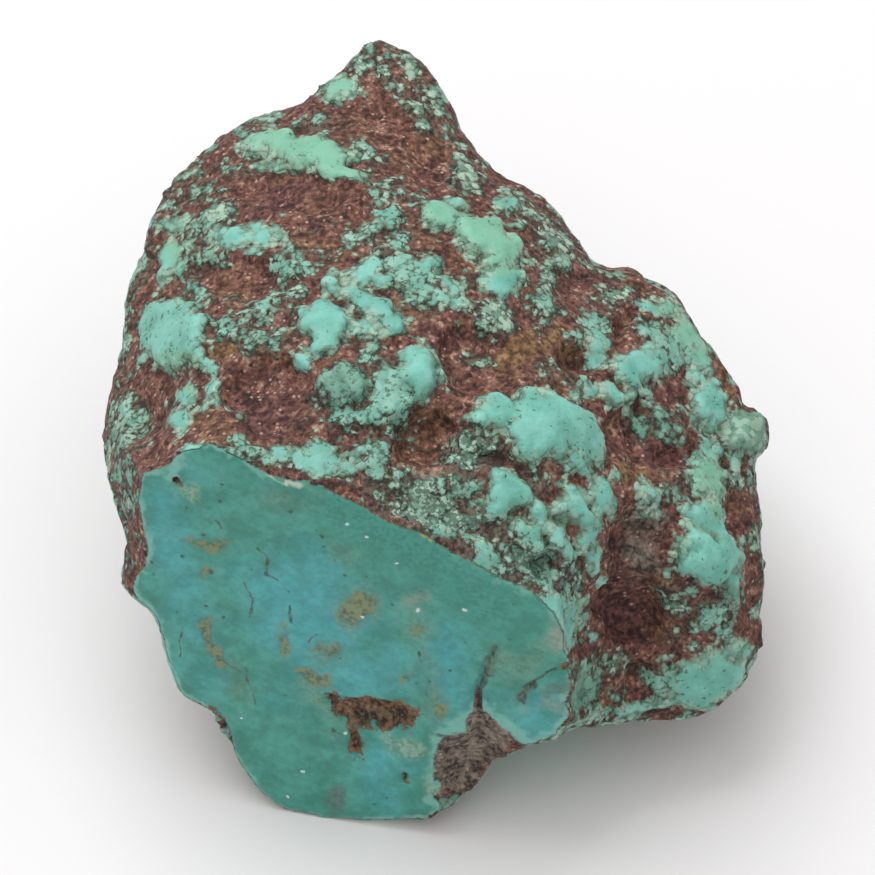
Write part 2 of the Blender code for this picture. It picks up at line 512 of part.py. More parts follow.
def nugget():
    """The whole stone, as one object."""
    verts, faces = skin(form())
    mesh = bpy.data.meshes.new("nugget")
    mesh.from_pydata((to_stone(verts) * MM).tolist(), [], faces.tolist())
    mesh.shade_smooth()
    obj = bpy.data.objects.new("nugget", mesh)
    bpy.context.scene.collection.objects.link(obj)
    obj.data = thinned(obj)
    sawn_normal = SAWN_NORMAL @ np.stack([ACROSS, UP, OUT])
    cut_flat(obj.data, to_stone(SAWN_POINT) * MM, sawn_normal)
    cut_flat(obj.data, np.zeros(3), np.array([0.0, 0.0, -1.0]))
    keep_largest(obj.data)
    obj.data.materials.append(stone_material())
    return obj


def main():
    for old in list(bpy.data.objects):
        bpy.data.objects.remove(old, do_unlink=True)
    nugget()


main()
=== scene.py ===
"""Looks of the raw turquoise nugget: its skin in full detail, its finish, a camera, soft light and a floor.

The stone is set out on the same drawing plane as its solid. The plane leans back over the stone and faces
the camera squarely: u runs to the right on it, v runs up, and w stands out of it towards the camera. All
lengths of the drawing are in millimetres.

The skin repeats the solid's own form on a finer grid, and then carries fine relief that the solid leaves
out. At every corner the mesh keeps measures, such as how far it lies inside a lump of turquoise or a brown
hole in the sawn face. The material turns those into turquoise, brown matrix and smooth cut stone, with
crisp and ragged borders.
"""

import itertools
import math
from functools import reduce

import bpy
import numpy as np
from mathutils import Matrix, Vector


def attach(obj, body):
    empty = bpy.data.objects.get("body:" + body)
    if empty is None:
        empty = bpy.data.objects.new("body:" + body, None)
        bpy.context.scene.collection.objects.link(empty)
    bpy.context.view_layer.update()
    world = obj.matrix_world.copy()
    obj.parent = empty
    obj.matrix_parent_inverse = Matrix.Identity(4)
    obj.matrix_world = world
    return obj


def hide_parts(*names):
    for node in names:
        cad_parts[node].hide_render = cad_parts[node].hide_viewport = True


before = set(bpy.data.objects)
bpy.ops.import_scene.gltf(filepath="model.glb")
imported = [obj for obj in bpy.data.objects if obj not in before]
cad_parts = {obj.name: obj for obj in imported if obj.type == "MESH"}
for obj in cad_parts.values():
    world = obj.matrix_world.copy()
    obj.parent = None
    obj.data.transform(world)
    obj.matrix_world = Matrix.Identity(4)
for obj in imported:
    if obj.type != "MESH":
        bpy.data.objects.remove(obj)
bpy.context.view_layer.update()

MM = 0.001
SEED = 4
# Each use of noise or chance adds its own salt to the seed.
WANDER_SALT, LOBE_SALT, RIND_SHEEN_SALT, BAY_SALT = 1, 7, 8, 9
LOOK_SALT, ZONE_SALT, MATRIX_SALT, TURQUOISE_SALT, NODULE_SALT = 40, 50, 60, 70, 80

# The drawing plane, in millimetres on the stone's own axes.
LEAN = math.radians(52.0)
ORIGIN = np.array([0.0, -6.4, 23.2])
ACROSS = np.array([1.0, 0.0, 0.0])
UP = np.array([0.0, math.sin(LEAN), math.cos(LEAN)])
OUT = np.array([0.0, -math.cos(LEAN), math.sin(LEAN)])
AXES = np.stack([ACROSS, UP, OUT])

# The camera looks straight at the drawing plane, and the picture is as wide as this on it.
PICTURE_WIDTH = 70.0
CAMERA_DISTANCE = 1000.0
SENSOR = 36.0

# The sawn face: a point on it and its normal, both on the drawing's axes.
SAWN_POINT = np.array([-7.0, -4.6, 19.0])
SAWN_NORMAL = np.array([-0.20, -0.66, 0.72]) / np.linalg.norm([-0.20, -0.66, 0.72])

# Outline: u, v and the depth w at which the front and the hidden surface meet.
OUTLINE_FREE = [
    (-4.8, 32.5, -13.5), (-1.5, 30.8, -12.5), (0.3, 28.9, -11.5), (1.4, 26.7, -10.5), (2.4, 24.1, -9.5),
    (4.5, 21.6, -8.5), (6.8, 20.3, -8.0), (8.9, 18.7, -8.0), (11.2, 16.0, -7.5), (12.8, 14.0, -7.0),
    (16.2, 13.0, -7.0), (19.2, 11.4, -6.5), (20.7, 9.4, -6.0), (22.6, 6.2, -5.0), (24.0, 4.0, -4.5),
    (24.4, 2.7, -4.0), (25.5, 2.5, -4.0), (26.5, 1.6, -4.0), (26.9, 0.3, -4.0), (26.7, -0.9, -4.0),
    (25.7, -1.7, -3.5), (25.5, -3.2, -3.5), (25.8, -6.7, -3.0), (26.4, -11.1, -3.0), (26.0, -15.1, -3.0),
    (25.3, -18.4, -3.0), (24.2, -20.4, -3.0), (21.6, -22.3, -3.0), (19.3, -22.8, -2.5), (16.2, -22.9, -1.5),
    (11.2, -23.0, 2.5), (9.8, -23.8, 4.0), (7.4, -24.5, 4.5), (5.2, -25.5, 0.8), (3.7, -27.0, -1.2),
    (2.4, -28.5, -2.6),
]
OUTLINE_SAWN = [
    (0.2, -30.0), (-2.1, -30.7), (-7.8, -30.8), (-11.1, -30.5), (-13.7, -29.1), (-15.8, -26.4),
    (-17.2, -23.9), (-18.4, -21.7), (-20.5, -20.5), (-21.6, -17.6), (-22.4, -14.4), (-23.9, -12.8),
]
OUTLINE_LEFT = [
    (-25.0, -11.1, 4.5), (-24.8, -8.0, 4.0), (-25.5, -5.1, 2.5), (-26.4, -1.9, 1.5), (-26.4, 2.4, 0.0),
    (-25.4, 6.3, -1.5), (-25.0, 10.4, -3.0), (-24.0, 14.0, -4.5), (-23.2, 17.3, -6.0), (-21.7, 20.4, -8.0),
    (-18.8, 23.4, -9.5), (-15.8, 25.6, -10.5), (-12.3, 26.7, -11.0), (-9.9, 28.2, -12.0),
    (-8.2, 29.6, -12.5), (-6.4, 31.4, -13.5),
]
# Places in each stretch of the smooth outline, and how far in from it the front and the hidden side round
# over.
OUTLINE_STEPS = 4
FRONT_ROUND = 6.5
HIDDEN_ROUND = 12.0
# A spot closer to the outline than this counts as this far inside it.
NEAREST_SPOT = 1.0
# Each surface stands at least this far off the outline's depth. The outline's depth at a place inside is a
# mean of those round it, weighted by a power of their nearness.
LEAST_DEPTH = 1.0
NEARNESS = 0.05
NEARNESS_POWER = 4

# Height of the front surface above the table, at points of the drawing.
SPOT_HEIGHTS = [
    (-19.8, 1.6, 35.5), (-15.0, 3.0, 37.3), (-8.6, 1.5, 37.5), (-19.0, 8.6, 36.0), (-11.0, 11.0, 38.2),
    (-3.0, 11.0, 38.2), (-11.0, 3.0, 38.0), (-3.0, 3.0, 37.4), (3.4, 3.0, 36.6), (9.0, 1.4, 34.6),
    (6.6, -5.0, 32.8), (9.8, -8.2, 30.2), (-11.0, 20.6, 37.2), (-4.6, 23.0, 36.6), (-4.8, 28.6, 34.5),
    (-15.8, 20.6, 35.0), (-19.0, 16.6, 34.6), (-22.2, 14.2, 31.5), (-23.6, 8.6, 31.0), (-24.0, 1.4, 30.5),
    (1.0, 19.0, 36.4), (6.6, 14.2, 35.2), (11.4, 11.0, 32.6), (16.2, 8.6, 30.0), (20.2, 5.4, 26.6),
    (22.6, 0.6, 24.0), (16.2, 1.4, 29.0), (19.4, -3.4, 25.8), (21.2, -9.8, 22.6), (22.4, -14.6, 17.6),
    (21.0, -19.4, 12.6), (16.2, -20.8, 12.0), (14.6, -9.8, 24.6), (16.0, -14.0, 17.8), (13.4, -18.2, 15.2),
    (11.6, -16.2, 19.6), (11.4, -20.6, 14.6),
]
# Places on the sawn face's edge.
SAWN_EDGE = [
    # left end and the top edge
    (-24.2, -11.2), (-23.1, -10.2), (-22.9, -8.6), (-23.4, -6.6), (-23.6, -5.0), (-23.3, -2.9),
    (-22.2, -2.6), (-20.8, -3.4), (-20.9, -2.0), (-20.0, -1.0), (-17.8, -0.4), (-15.3, -1.8), (-13.2, -3.2),
    (-10.9, -3.6), (-8.9, -4.2), (-6.1, -5.4), (-4.1, -6.8), (-1.3, -7.6), (1.1, -9.2), (4.4, -11.1),
    (7.2, -12.3), (9.2, -13.9),
    # right end, with the tongue under the crescent groove
    (10.0, -15.4), (10.5, -17.6), (10.7, -20.0), (10.7, -22.2), (6.2, -23.9), (4.9, -22.9), (3.9, -21.8),
    # the edge above the facet
    (2.8, -21.6), (2.3, -23.5), (0.4, -23.8), (-0.4, -25.6), (-0.3, -27.8), (-0.6, -29.2),
]
# How far the stone stood past the saw cut before it was cut, at other places round it. It is less than 0 on
# the facet under the sawn face that the saw missed.
SAWN_SPOTS = [
    # the facet
    (3.3, -22.4, -0.9), (3.5, -23.6, -1.8), (1.2, -24.9, -1.4), (0.6, -26.8, -1.2), (2.6, -25.9, -2.2),
    (4.8, -24.8, -2.2), (1.6, -28.0, -1.6),
    # inside the edge
    (-21.0, -8.0, 3.0), (-15.0, -8.0, 4.0), (-8.0, -11.0, 4.0), (0.0, -14.0, 4.0), (5.0, -17.0, 3.0),
    (8.0, -20.0, 1.5), (-18.0, -16.0, 4.0), (-8.0, -20.0, 4.0), (-12.0, -27.0, 4.0), (-5.0, -28.0, 4.0),
]

# The stone's middle on the drawing's axes, and the hidden side's planes by their normal and their distance
# from it. They meet in roundings of about the blend, and none counts as further off than so many blends.
MIDDLE = (np.array([0.0, 0.0, 18.0]) - ORIGIN) @ AXES.T
HIDDEN_PLANES = [
    ((0.20, 0.0, -0.98), 20.9), ((-0.20, 0.0, -0.98), 20.9), ((0.0, 0.20, -0.98), 20.9),
    ((0.05, 0.98, -0.18), 28.0), ((-0.85, 0.10, -0.50), 23.5), ((0.75, -0.10, -0.65), 24.0),
    ((-0.60, 0.75, -0.25), 27.0), ((0.65, 0.70, -0.30), 23.5), ((0.0, 0.65, -0.76), 26.0),
]
PLANE_BLEND = 1.5
FARTHEST = 60.0

# Lumps of turquoise by their look: u, v, half length, half width, turn in degrees and rise.
LUMPS = {
    "bright": [
        # far end and upper left
        (-14.2, 24.3, 2.4, 1.0, 0, 0.6), (-12.2, 23.7, 4.2, 1.2, -8, 0.7),
        (-10.2, 23.6, 2.0, 1.5, -10, 0.7), (-8.2, 22.2, 2.8, 1.4, -55, 0.8),
        (-8.4, 29.0, 1.7, 0.9, 20, 0.4), (-21.6, 17.6, 1.8, 1.0, 15, 0.4), (-22.1, 14.9, 1.1, 1.8, 0, 0.5),
        (-17.0, 16.5, 1.5, 0.8, 0, 0.3), (-14.0, 16.7, 1.8, 0.8, 0, 0.3),
        # left side
        (-18.9, 6.2, 1.6, 0.7, -30, 0.3), (-21.3, 2.2, 1.2, 1.0, 0, 0.4), (-18.0, 3.9, 1.7, 0.4, 0, 0.3),
        (-19.4, -0.6, 1.3, 0.6, 0, 0.3),
        # middle
        (-8.8, 9.7, 2.9, 1.8, 0, 0.8), (-5.7, 11.2, 4.0, 1.2, -35, 0.7), (-5.6, 13.9, 1.3, 1.2, 0, 0.5),
        (-5.9, 9.3, 1.6, 1.0, 0, 0.4), (-3.4, 9.6, 1.0, 1.1, 0, 0.4), (-1.6, 5.4, 2.0, 2.3, 0, 1.7),
        # upper right
        (0.3, 18.4, 1.6, 1.7, 0, 0.6), (4.2, 16.4, 3.8, 1.6, -34, 0.9), (6.2, 15.0, 1.3, 1.1, 0, 0.5),
        (-0.6, 14.3, 1.5, 1.2, 0, 0.5), (1.2, 12.2, 0.8, 1.5, 20, 0.4), (5.6, 13.0, 1.8, 1.6, 0, 0.6),
        # above the sawn face
        (5.0, 2.4, 2.3, 1.5, 0, 0.9), (9.0, 1.2, 3.8, 3.0, -12, 1.3), (6.0, -4.0, 2.2, 1.7, 0, 0.9),
        (5.0, -5.4, 2.0, 1.0, 0, 0.4), (7.2, -7.8, 1.3, 1.7, 10, 0.8), (4.1, -9.2, 1.1, 1.6, 0, 0.6),
        (8.7, -5.8, 1.2, 1.0, 0, 0.4), (10.0, -7.8, 2.8, 0.8, -53, 0.6), (11.3, -5.3, 1.6, 1.5, 0, 0.9),
        (13.5, -5.2, 0.9, 2.2, 0, 0.7), (12.8, -9.6, 0.8, 2.1, 15, 0.6), (9.8, -13.0, 2.4, 1.2, 0, 0.4),
        (11.2, -14.6, 1.0, 2.0, 0, 0.3), (0.7, -7.5, 1.1, 0.9, 0, 0.3),
        # right lobe
        (14.2, 4.0, 2.6, 0.7, -12, 0.3), (13.4, 7.8, 1.0, 0.7, 0, 0.3), (16.5, 6.1, 2.0, 1.5, 0, 0.6),
        (18.6, 10.8, 2.4, 0.9, -20, 0.4), (20.8, 8.2, 1.0, 3.0, 25, 0.4), (22.2, 3.3, 1.4, 2.2, 15, 0.6),
        (22.2, -3.4, 1.2, 1.8, 0, 0.6), (21.8, -6.3, 1.9, 1.4, 0, 0.7), (21.9, -9.9, 3.1, 2.6, 0, 1.4),
        (17.6, -4.6, 0.7, 1.3, 20, 0.5), (21.6, -20.0, 3.8, 2.0, 25, 0.7), (16.2, -22.0, 3.6, 0.7, 0, 0.3),
        (24.3, -17.4, 0.8, 1.8, 10, 0.3),
    ],
    "speckled": [
        (-21.5, 8.6, 3.1, 3.1, 0, 1.2), (-20.6, 4.0, 1.2, 1.1, 0, 0.4), (5.7, 19.4, 1.5, 0.9, -10, 0.3),
        (12.0, -0.4, 1.9, 2.6, 0, 1.1), (-9.7, -1.5, 4.4, 1.6, -8, 0.5), (22.6, -0.6, 1.0, 1.5, 0, 0.4),
        (-14.9, 10.6, 1.6, 0.9, 0, 0.4), (-3.9, 18.0, 1.6, 1.1, 0, 0.4),
    ],
    "mottled": [
        (-3.7, 3.6, 2.0, 2.8, 0, 0.9), (-1.4, 13.4, 3.6, 1.3, -38, 0.5), (-11.7, 14.3, 1.9, 1.1, 0, 0.4),
        (-11.2, 15.8, 1.2, 0.6, 0, 0.3), (-16.2, 9.2, 1.6, 0.9, 0, 0.3), (-13.4, 8.4, 1.3, 0.8, 0, 0.3),
        (-5.4, 7.6, 0.9, 1.0, 0, 0.3), (-5.8, 1.9, 3.6, 1.1, 0, 0.5), (-1.6, 19.8, 1.0, 0.8, 0, 0.3),
        (-6.5, 16.9, 1.3, 0.9, 0, 0.3), (-2.9, 14.3, 1.3, 1.6, 0, 0.3), (-0.4, 12.3, 0.9, 1.5, 0, 0.3),
        (-15.8, -0.8, 1.9, 1.1, 0, 0.3), (-4.7, -2.4, 1.2, 2.7, 15, 0.4), (19.0, 7.4, 1.8, 1.6, 0, 0.4),
        (8.8, 10.8, 1.2, 1.4, 0, 0.4), (-20.4, 15.4, 0.9, 1.8, 0, 0.3), (0.2, -4.4, 1.0, 1.6, 0, 0.3),
    ],
    "pale": [
        (-4.7, 21.3, 1.9, 0.6, 0, 0.3), (-6.0, 23.4, 1.5, 0.6, -15, 0.3), (-4.8, 30.8, 1.0, 0.7, 0, 0.3),
        (-1.7, 27.3, 3.0, 0.6, -42, 0.4), (-17.8, 18.6, 1.5, 1.5, 0, 0.4), (-25.3, 1.0, 0.9, 3.2, 0, 0.4),
        (4.9, 10.6, 1.4, 1.3, 0, 0.4), (9.4, 13.2, 0.9, 1.8, 0, 0.3), (2.6, 21.4, 1.4, 1.4, 0, 0.4),
        (7.8, 18.4, 1.2, 0.7, -30, 0.3), (9.8, 16.2, 1.2, 2.0, 40, 0.4), (9.2, 5.8, 1.0, 0.6, 0, 0.3),
        (11.6, 4.9, 0.9, 0.5, -15, 0.3), (14.2, 12.1, 1.4, 0.9, 0, 0.3), (24.2, -3.4, 1.0, 1.0, 0, 0.3),
        (18.6, -4.2, 1.0, 0.7, 0, 0.3), (14.3, -18.3, 1.1, 0.6, 0, 0.5),
    ],
    "knob": [(25.2, 0.5, 2.0, 2.2, 0, 0.9)],
    "dusky": [
        (-7.6, 4.4, 2.3, 2.2, 0, 1.2), (18.6, 1.8, 1.8, 1.1, 0, 0.4), (12.2, -20.2, 1.6, 2.0, 0, 0.3),
        (23.8, -12.6, 1.3, 1.3, 0, 0.6),
    ],
}
# Hollows in the matrix: u, v, half length, half width, turn in degrees and depth.
HOLLOWS = [
    (-11.8, 20.6, 4.8, 2.2, -10, 0.9), (-15.8, 13.6, 4.8, 1.6, 0, 0.9), (-13.4, 4.2, 3.8, 3.4, 0, 1.3),
    (3.4, 7.0, 4.0, 3.0, -20, 1.4), (12.2, 7.0, 2.6, 1.4, -15, 2.0), (-1.0, 0.6, 2.8, 2.4, 0, 2.2),
    (15.4, 9.6, 0.7, 1.9, 0, 1.3), (16.2, 0.6, 2.4, 3.2, 0, 1.4), (19.6, -1.0, 2.0, 1.6, 0, 1.6),
    (5.0, -1.4, 1.8, 0.8, 0, 1.0), (8.8, -10.2, 1.5, 1.4, 0, 1.4), (16.2, -8.2, 2.0, 3.4, 0, 2.0),
    (15.8, -13.8, 2.4, 3.4, 0, 2.6), (16.6, -19.4, 1.2, 1.6, 0, 1.3), (24.2, -6.2, 0.8, 1.4, 0, 0.9),
    (-23.8, 1.4, 1.4, 3.2, 0, 0.8), (-3.0, 24.6, 5.0, 2.0, -45, 0.6),
]
# Patches blend over about this height, and the sawn face's edge is worn round over about this length.
LUMP_BLEND = 0.25
WORN_EDGE = 0.15
# A patch reaches its full height this many heights in from its border.
SIDE = 0.9
# The smooth body's surface lies this far above the matrix between lumps, and the patches are drawn at their
# places on a surface that stands the anchor above it. Beside the sawn face the relief fades out over a
# margin, and nothing reaches further past the outline than the overhang.
LEVEL = 0.7
ANCHOR = 0.5
SAW_MARGIN = 1.2
OVERHANG = 1.0
# The patches' places are pushed about by up to this much, in hills of this size and half of both.
WANDER = 0.45
WANDER_SIZE = 2.2
# On the outline only this share of the relief is left, and all of it from this far inside.
RIM_SHARE = 0.15
RIM_REACH = 3.0
# What is drawn gives way to what is scattered over the hidden side within this depth of the outline.
VIEW_BLEND = 2.0
# Rounded lobes this far apart give the patches knobbly borders. At its middle a lobe pushes a border out by
# the least share of the reach and by up to the next share more. The level's share draws all borders in.
LOBE_SIZE = 1.5
LOBE_REACH = 1.2
LOBE_LEAST = 0.4
LOBE_MORE = 1.2
LOBE_LEVEL = 0.48

# Lumps and hollows on the hidden side: how many, the draw that they come from, their smallest and largest
# radius, and the largest rise or depth.
HIDDEN_LUMPS = (170, 20, 1.5, 4.2, 2.2)
HIDDEN_HOLLOWS = (34, 21, 2.0, 4.5, 1.8)
# A full-sized one has at least this share of its draw's rise, and smaller ones have less.
LOWEST = 0.6

GRID_LOW = np.array([-29.0, -34.0, -41.0])
GRID_HIGH = np.array([30.0, 35.0, 24.0])
GRID = 0.39
# Noise repeats after this many hills.
LATTICE = 32
# The relief reaches no deeper under the smooth body's surface and no higher above it than this.
DEEPEST = 4.0
HIGHEST = 2.8
# The field is taken to be at least this steep, and no grid place lies nearer to the skin than this.
FLATTEST = 0.02
NEAREST_SKIN = 0.02


def ease(low, high, x):
    """0 below low, 1 above high, and a smooth step between them."""
    t = np.clip((x - low) / (high - low), 0.0, 1.0)
    return t * t * (3.0 - 2.0 * t)


def between_corners(part, value_at):
    """The mean of a cell's corners for points part of the way across it. value_at gives a corner's value."""
    total = 0.0
    for step in np.ndindex(*(2,) * part.shape[-1]):
        weight = 1.0
        for a, far in enumerate(step):
            weight = weight * (part[..., a] if far else 1.0 - part[..., a])
        total = total + weight * value_at(step)
    return total


def noise(points, size, salt):
    """Smooth noise from -1 to 1 at points of any shape (..., 3), with hills about size apart."""
    lattice = np.random.default_rng(SEED + salt).uniform(-1.0, 1.0, (LATTICE, LATTICE, LATTICE))
    place = points / size + 2.0 * LATTICE
    corner = np.floor(place).astype(int)
    part = ease(0.0, 1.0, place - corner)
    return between_corners(part, lambda step: lattice[tuple(np.moveaxis((corner + step) % LATTICE, -1, 0))])


def to_stone(points):
    """Drawing places u, v, w as places on the stone's own axes."""
    return ORIGIN + points @ AXES


# ----------------------------------------
# The form, as the solid has it
# ----------------------------------------


def sawn_depth(u, v):
    """Depth w of the sawn face's plane."""
    nu, nv, nw = SAWN_NORMAL
    return SAWN_POINT[2] - (nu * (u - SAWN_POINT[0]) + nv * (v - SAWN_POINT[1])) / nw


def behind_saw(points):
    """How far behind the sawn face's plane each place of the drawing lies."""
    return (SAWN_POINT - points) @ SAWN_NORMAL


def depth_of_height(v, height):
    """Depth w of a point that stands this high above the table."""
    return (height - ORIGIN[2] - v * UP[2]) / OUT[2]


def smooth_closed(points, steps):
    """A smooth closed curve through the points (Catmull-Rom), with steps places in each stretch."""
    p = np.asarray(points)
    before, after, beyond = np.roll(p, 1, 0), np.roll(p, -1, 0), np.roll(p, -2, 0)
    rows = []
    for t in np.arange(steps) / steps:
        rows.append(0.5 * (2 * p + (after - before) * t + (2 * before - 5 * p + 4 * after - beyond) * t**2
                           + (3 * p - before - 3 * after + beyond) * t**3))
    return np.stack(rows, 1).reshape(-1, 3)


def beside(u, v, start, end):
    """The place beside each point on the way from start to end, as a share of it, and how far off it is."""
    du, dv = end[0] - start[0], end[1] - start[1]
    t = np.clip(((u - start[0]) * du + (v - start[1]) * dv) / (du * du + dv * dv), 0.0, 1.0)
    return t, np.hypot(u - start[0] - t * du, v - start[1] - t * dv)


def outline():
    """The stone's outline on the drawing, as places u, v, w round it."""
    sawn = [(u, v, sawn_depth(u, v)) for u, v in OUTLINE_SAWN]
    return smooth_closed(OUTLINE_FREE + sawn + OUTLINE_LEFT, OUTLINE_STEPS)


def inset_and_edge_depth(u, v, curve):
    """How far each point lies inside the outline, and the outline's depth w beside it."""
    nearest, weight_sum, depth_sum, crossings = np.inf, 0.0, 0.0, 0
    for start, end in zip(curve, np.roll(curve, -1, 0)):
        t, gap = beside(u, v, start, end)
        nearest = np.minimum(nearest, gap)
        weight = 1.0 / (gap + NEARNESS) ** NEARNESS_POWER
        weight_sum = weight_sum + weight
        depth_sum = depth_sum + weight * (start[2] + t * (end[2] - start[2]))
        du, dv = end[:2] - start[:2]
        if dv != 0.0:
            crossed = ((start[1] <= v) != (end[1] <= v)) & (u < start[0] + (v - start[1]) * du / dv)
            crossings = crossings + crossed
    return np.where(crossings % 2 == 1, nearest, -nearest), depth_sum / weight_sum


def lean_at(inset, rounding):
    """How far the surface leans over: 0 inside the rounding, 1 on the outline and more outside it."""
    return np.maximum(1.0 - inset / rounding, 0.0)


def saw_spots():
    """The front's places round the saw cut, raised so that the rounded surface passes through them."""
    u, v, past = np.array([(u, v, 0.0) for u, v in SAWN_EDGE] + SAWN_SPOTS).T
    inset, edge = inset_and_edge_depth(u, v, outline())
    lean = lean_at(np.maximum(inset, NEAREST_SPOT), FRONT_ROUND)
    return np.column_stack([u, v, edge + (sawn_depth(u, v) + past - edge) / np.sqrt(1.0 - lean**2)])


def front_depth(u, v):
    """Depth w of the front surface, drawn like a sheet through all the spot heights."""
    spots = [(su, sv, depth_of_height(sv, height)) for su, sv, height in SPOT_HEIGHTS]
    spots = np.concatenate([spots, saw_spots()])
    place, depth = spots[:, :2], spots[:, 2]
    count = len(spots)
    apart = np.linalg.norm(place[:, None] - place[None], axis=2)
    system = np.zeros((count + 3, count + 3))
    system[:count, :count] = apart
    system[:count, count:] = np.column_stack([np.ones(count), place])
    system[count:, :count] = system[:count, count:].T
    answer = np.linalg.solve(system, np.append(depth, np.zeros(3)))
    result = answer[count] + answer[count + 1] * u + answer[count + 2] * v
    for (su, sv), strength in zip(place, answer):
        result = result + strength * np.hypot(u - su, v - sv)
    return result


def hidden_depth(u, v):
    """Depth w of the hidden side, a rounded meeting of its planes."""
    total = 0.0
    for normal, distance in HIDDEN_PLANES:
        nu, nv, nw = (np.asarray(normal) / np.linalg.norm(normal)) @ AXES.T
        depth = MIDDLE[2] + (distance - nu * (u - MIDDLE[0]) - nv * (v - MIDDLE[1])) / nw
        total = total + np.exp(np.clip(depth / PLANE_BLEND, -FARTHEST, FARTHEST))
    return PLANE_BLEND * np.log(total)


def body(u, v, w):
    """The smooth body, below 0 inside it, and the outline's depth and inset, in columns u, v of depths w."""
    inset, edge = inset_and_edge_depth(u, v, outline())
    front, hidden = front_depth(u, v), hidden_depth(u, v)
    outer = (w - edge) / np.maximum(front - edge, LEAST_DEPTH)
    inner = (edge - w) / np.maximum(edge - hidden, LEAST_DEPTH)
    rise = np.where(w > edge, outer, inner)
    rounding = np.where((w > edge) | (inset < 0.0), FRONT_ROUND, HIDDEN_ROUND)
    return np.sqrt(rise**2 + lean_at(inset, rounding) ** 2) - 1.0, edge, inset


def depth_inside(u, v, row):
    """How far inside the border of one drawn patch each point lies, in millimetres."""
    pu, pv, length, width, turn = (*row, 0.0)[:5]
    c, s = math.cos(math.radians(turn)), math.sin(math.radians(turn))
    along, across = (u - pu) * c + (v - pv) * s, (v - pv) * c - (u - pu) * s
    return (1.0 - np.hypot(along / length, across / width)) * min(length, width)


def dome(depth_in, height, size):
    """Height of a round-topped patch, this far inside its border, in millimetres."""
    part = np.clip(depth_in / min(size, SIDE * height), 0.0, 1.0)
    return height * (1.0 - (1.0 - part) ** 2)


def patches(u, v, lobe, rows):
    """Height of a set of knobbly patches, softly joined. The points come in the order of their own u."""
    total = np.zeros(u.shape)
    for row in rows:
        reach = max(row[2], row[3]) * (1.0 + LOBE_REACH / min(row[2], row[3]))
        near = slice(*np.searchsorted(u, (row[0] - reach, row[0] + reach)))
        height = dome(depth_inside(u[near], v[near], row) + lobe[near], row[5], min(row[2], row[3]))
        total[near] += np.expm1(height / LUMP_BLEND)
    return LUMP_BLEND * np.log1p(total)


def scattered_patches(points, count, salt, smallest, largest, rise):
    """Round patches scattered over the stone: a radius, a height and each point's distance, one by one."""
    arm = points - MIDDLE
    reach = np.linalg.norm(arm, axis=-1)
    rng = np.random.default_rng(SEED + salt)
    for _ in range(count):
        way = rng.normal(size=3)
        way /= np.linalg.norm(way)
        size = rng.uniform(smallest, largest)
        height = rise * rng.uniform(LOWEST, 1.0) * (size / largest) ** 0.5
        yield size, height, np.sqrt(np.maximum(2.0 * reach * (reach - arm @ way), 0.0))


def scattered(points, lobe, *draw):
    """Height of the round patches of one draw."""
    total = 0.0
    for size, height, apart in scattered_patches(points, *draw):
        total = total + np.expm1(dome(size - apart + lobe, height, size) / LUMP_BLEND)
    return LUMP_BLEND * np.log1p(total)


def relief(points, edge, inset):
    """How far the surface stands proud of the smooth body, over points u, v, w of the drawing."""
    moved = swayed(points)
    in_view = ease(0.0, VIEW_BLEND, points[:, 2] - edge)
    proud = np.zeros(len(points))
    seen, unseen = in_view > 0.0, in_view < 1.0
    lobe = lobes(points)
    order = np.flatnonzero(seen)[np.argsort(moved[seen, 0], kind="stable")]
    u, v = moved[order, 0], moved[order, 1]
    drawn = patches(u, v, lobe[order], sum(LUMPS.values(), [])) - patches(u, v, 0.0 * u, HOLLOWS)
    proud[order] = drawn * in_view[order]
    hidden = scattered(moved[unseen], lobe[unseen], *HIDDEN_LUMPS)
    hidden -= scattered(moved[unseen], 0.0, *HIDDEN_HOLLOWS)
    proud[unseen] += hidden * (1.0 - in_view[unseen])
    share = RIM_SHARE + (1.0 - RIM_SHARE) * ease(0.0, RIM_REACH, inset)
    return (proud - LEVEL) * ease(0.0, SAW_MARGIN, behind_saw(points)) * share


def cells(points, size, salt):
    """Rounded cells about size apart: how far each point is from its cell's middle, and the cell's draw."""
    lattice = np.random.default_rng(SEED + salt).uniform(0.0, 1.0, (LATTICE, LATTICE, LATTICE, 4))
    place = points / size + 2.0 * LATTICE
    corner = np.floor(place).astype(int)
    nearest, draw = np.full(len(points), np.inf), np.zeros(len(points))
    for step in np.ndindex(3, 3, 3):
        cell = corner + np.array(step) - 1
        drawn = lattice[tuple((cell % LATTICE).T)]
        apart = np.sqrt(np.sum((place - cell - drawn[:, :3]) ** 2, axis=1))
        closer = apart < nearest
        nearest[closer], draw[closer] = apart[closer], drawn[closer, 3]
    return nearest, draw


def lobes(points):
    """How far the patches' borders are pushed out at each point by rounded lobes."""
    away, draw = cells(points, LOBE_SIZE, LOBE_SALT)
    push = (LOBE_LEAST + LOBE_MORE * draw) * np.maximum(1.0 - away, 0.0)
    return LOBE_REACH * (push - LOBE_LEVEL)


def swayed(points):
    """The points pushed about a little, so that round patches drawn at them get wandering borders."""
    sway = 0.0
    for share, salt in ((1, WANDER_SALT), (2, WANDER_SALT + 3)):
        push = np.stack([noise(points, WANDER_SIZE / share, salt + a) for a in range(3)], -1)
        sway = sway + push * WANDER / share
    return points + sway


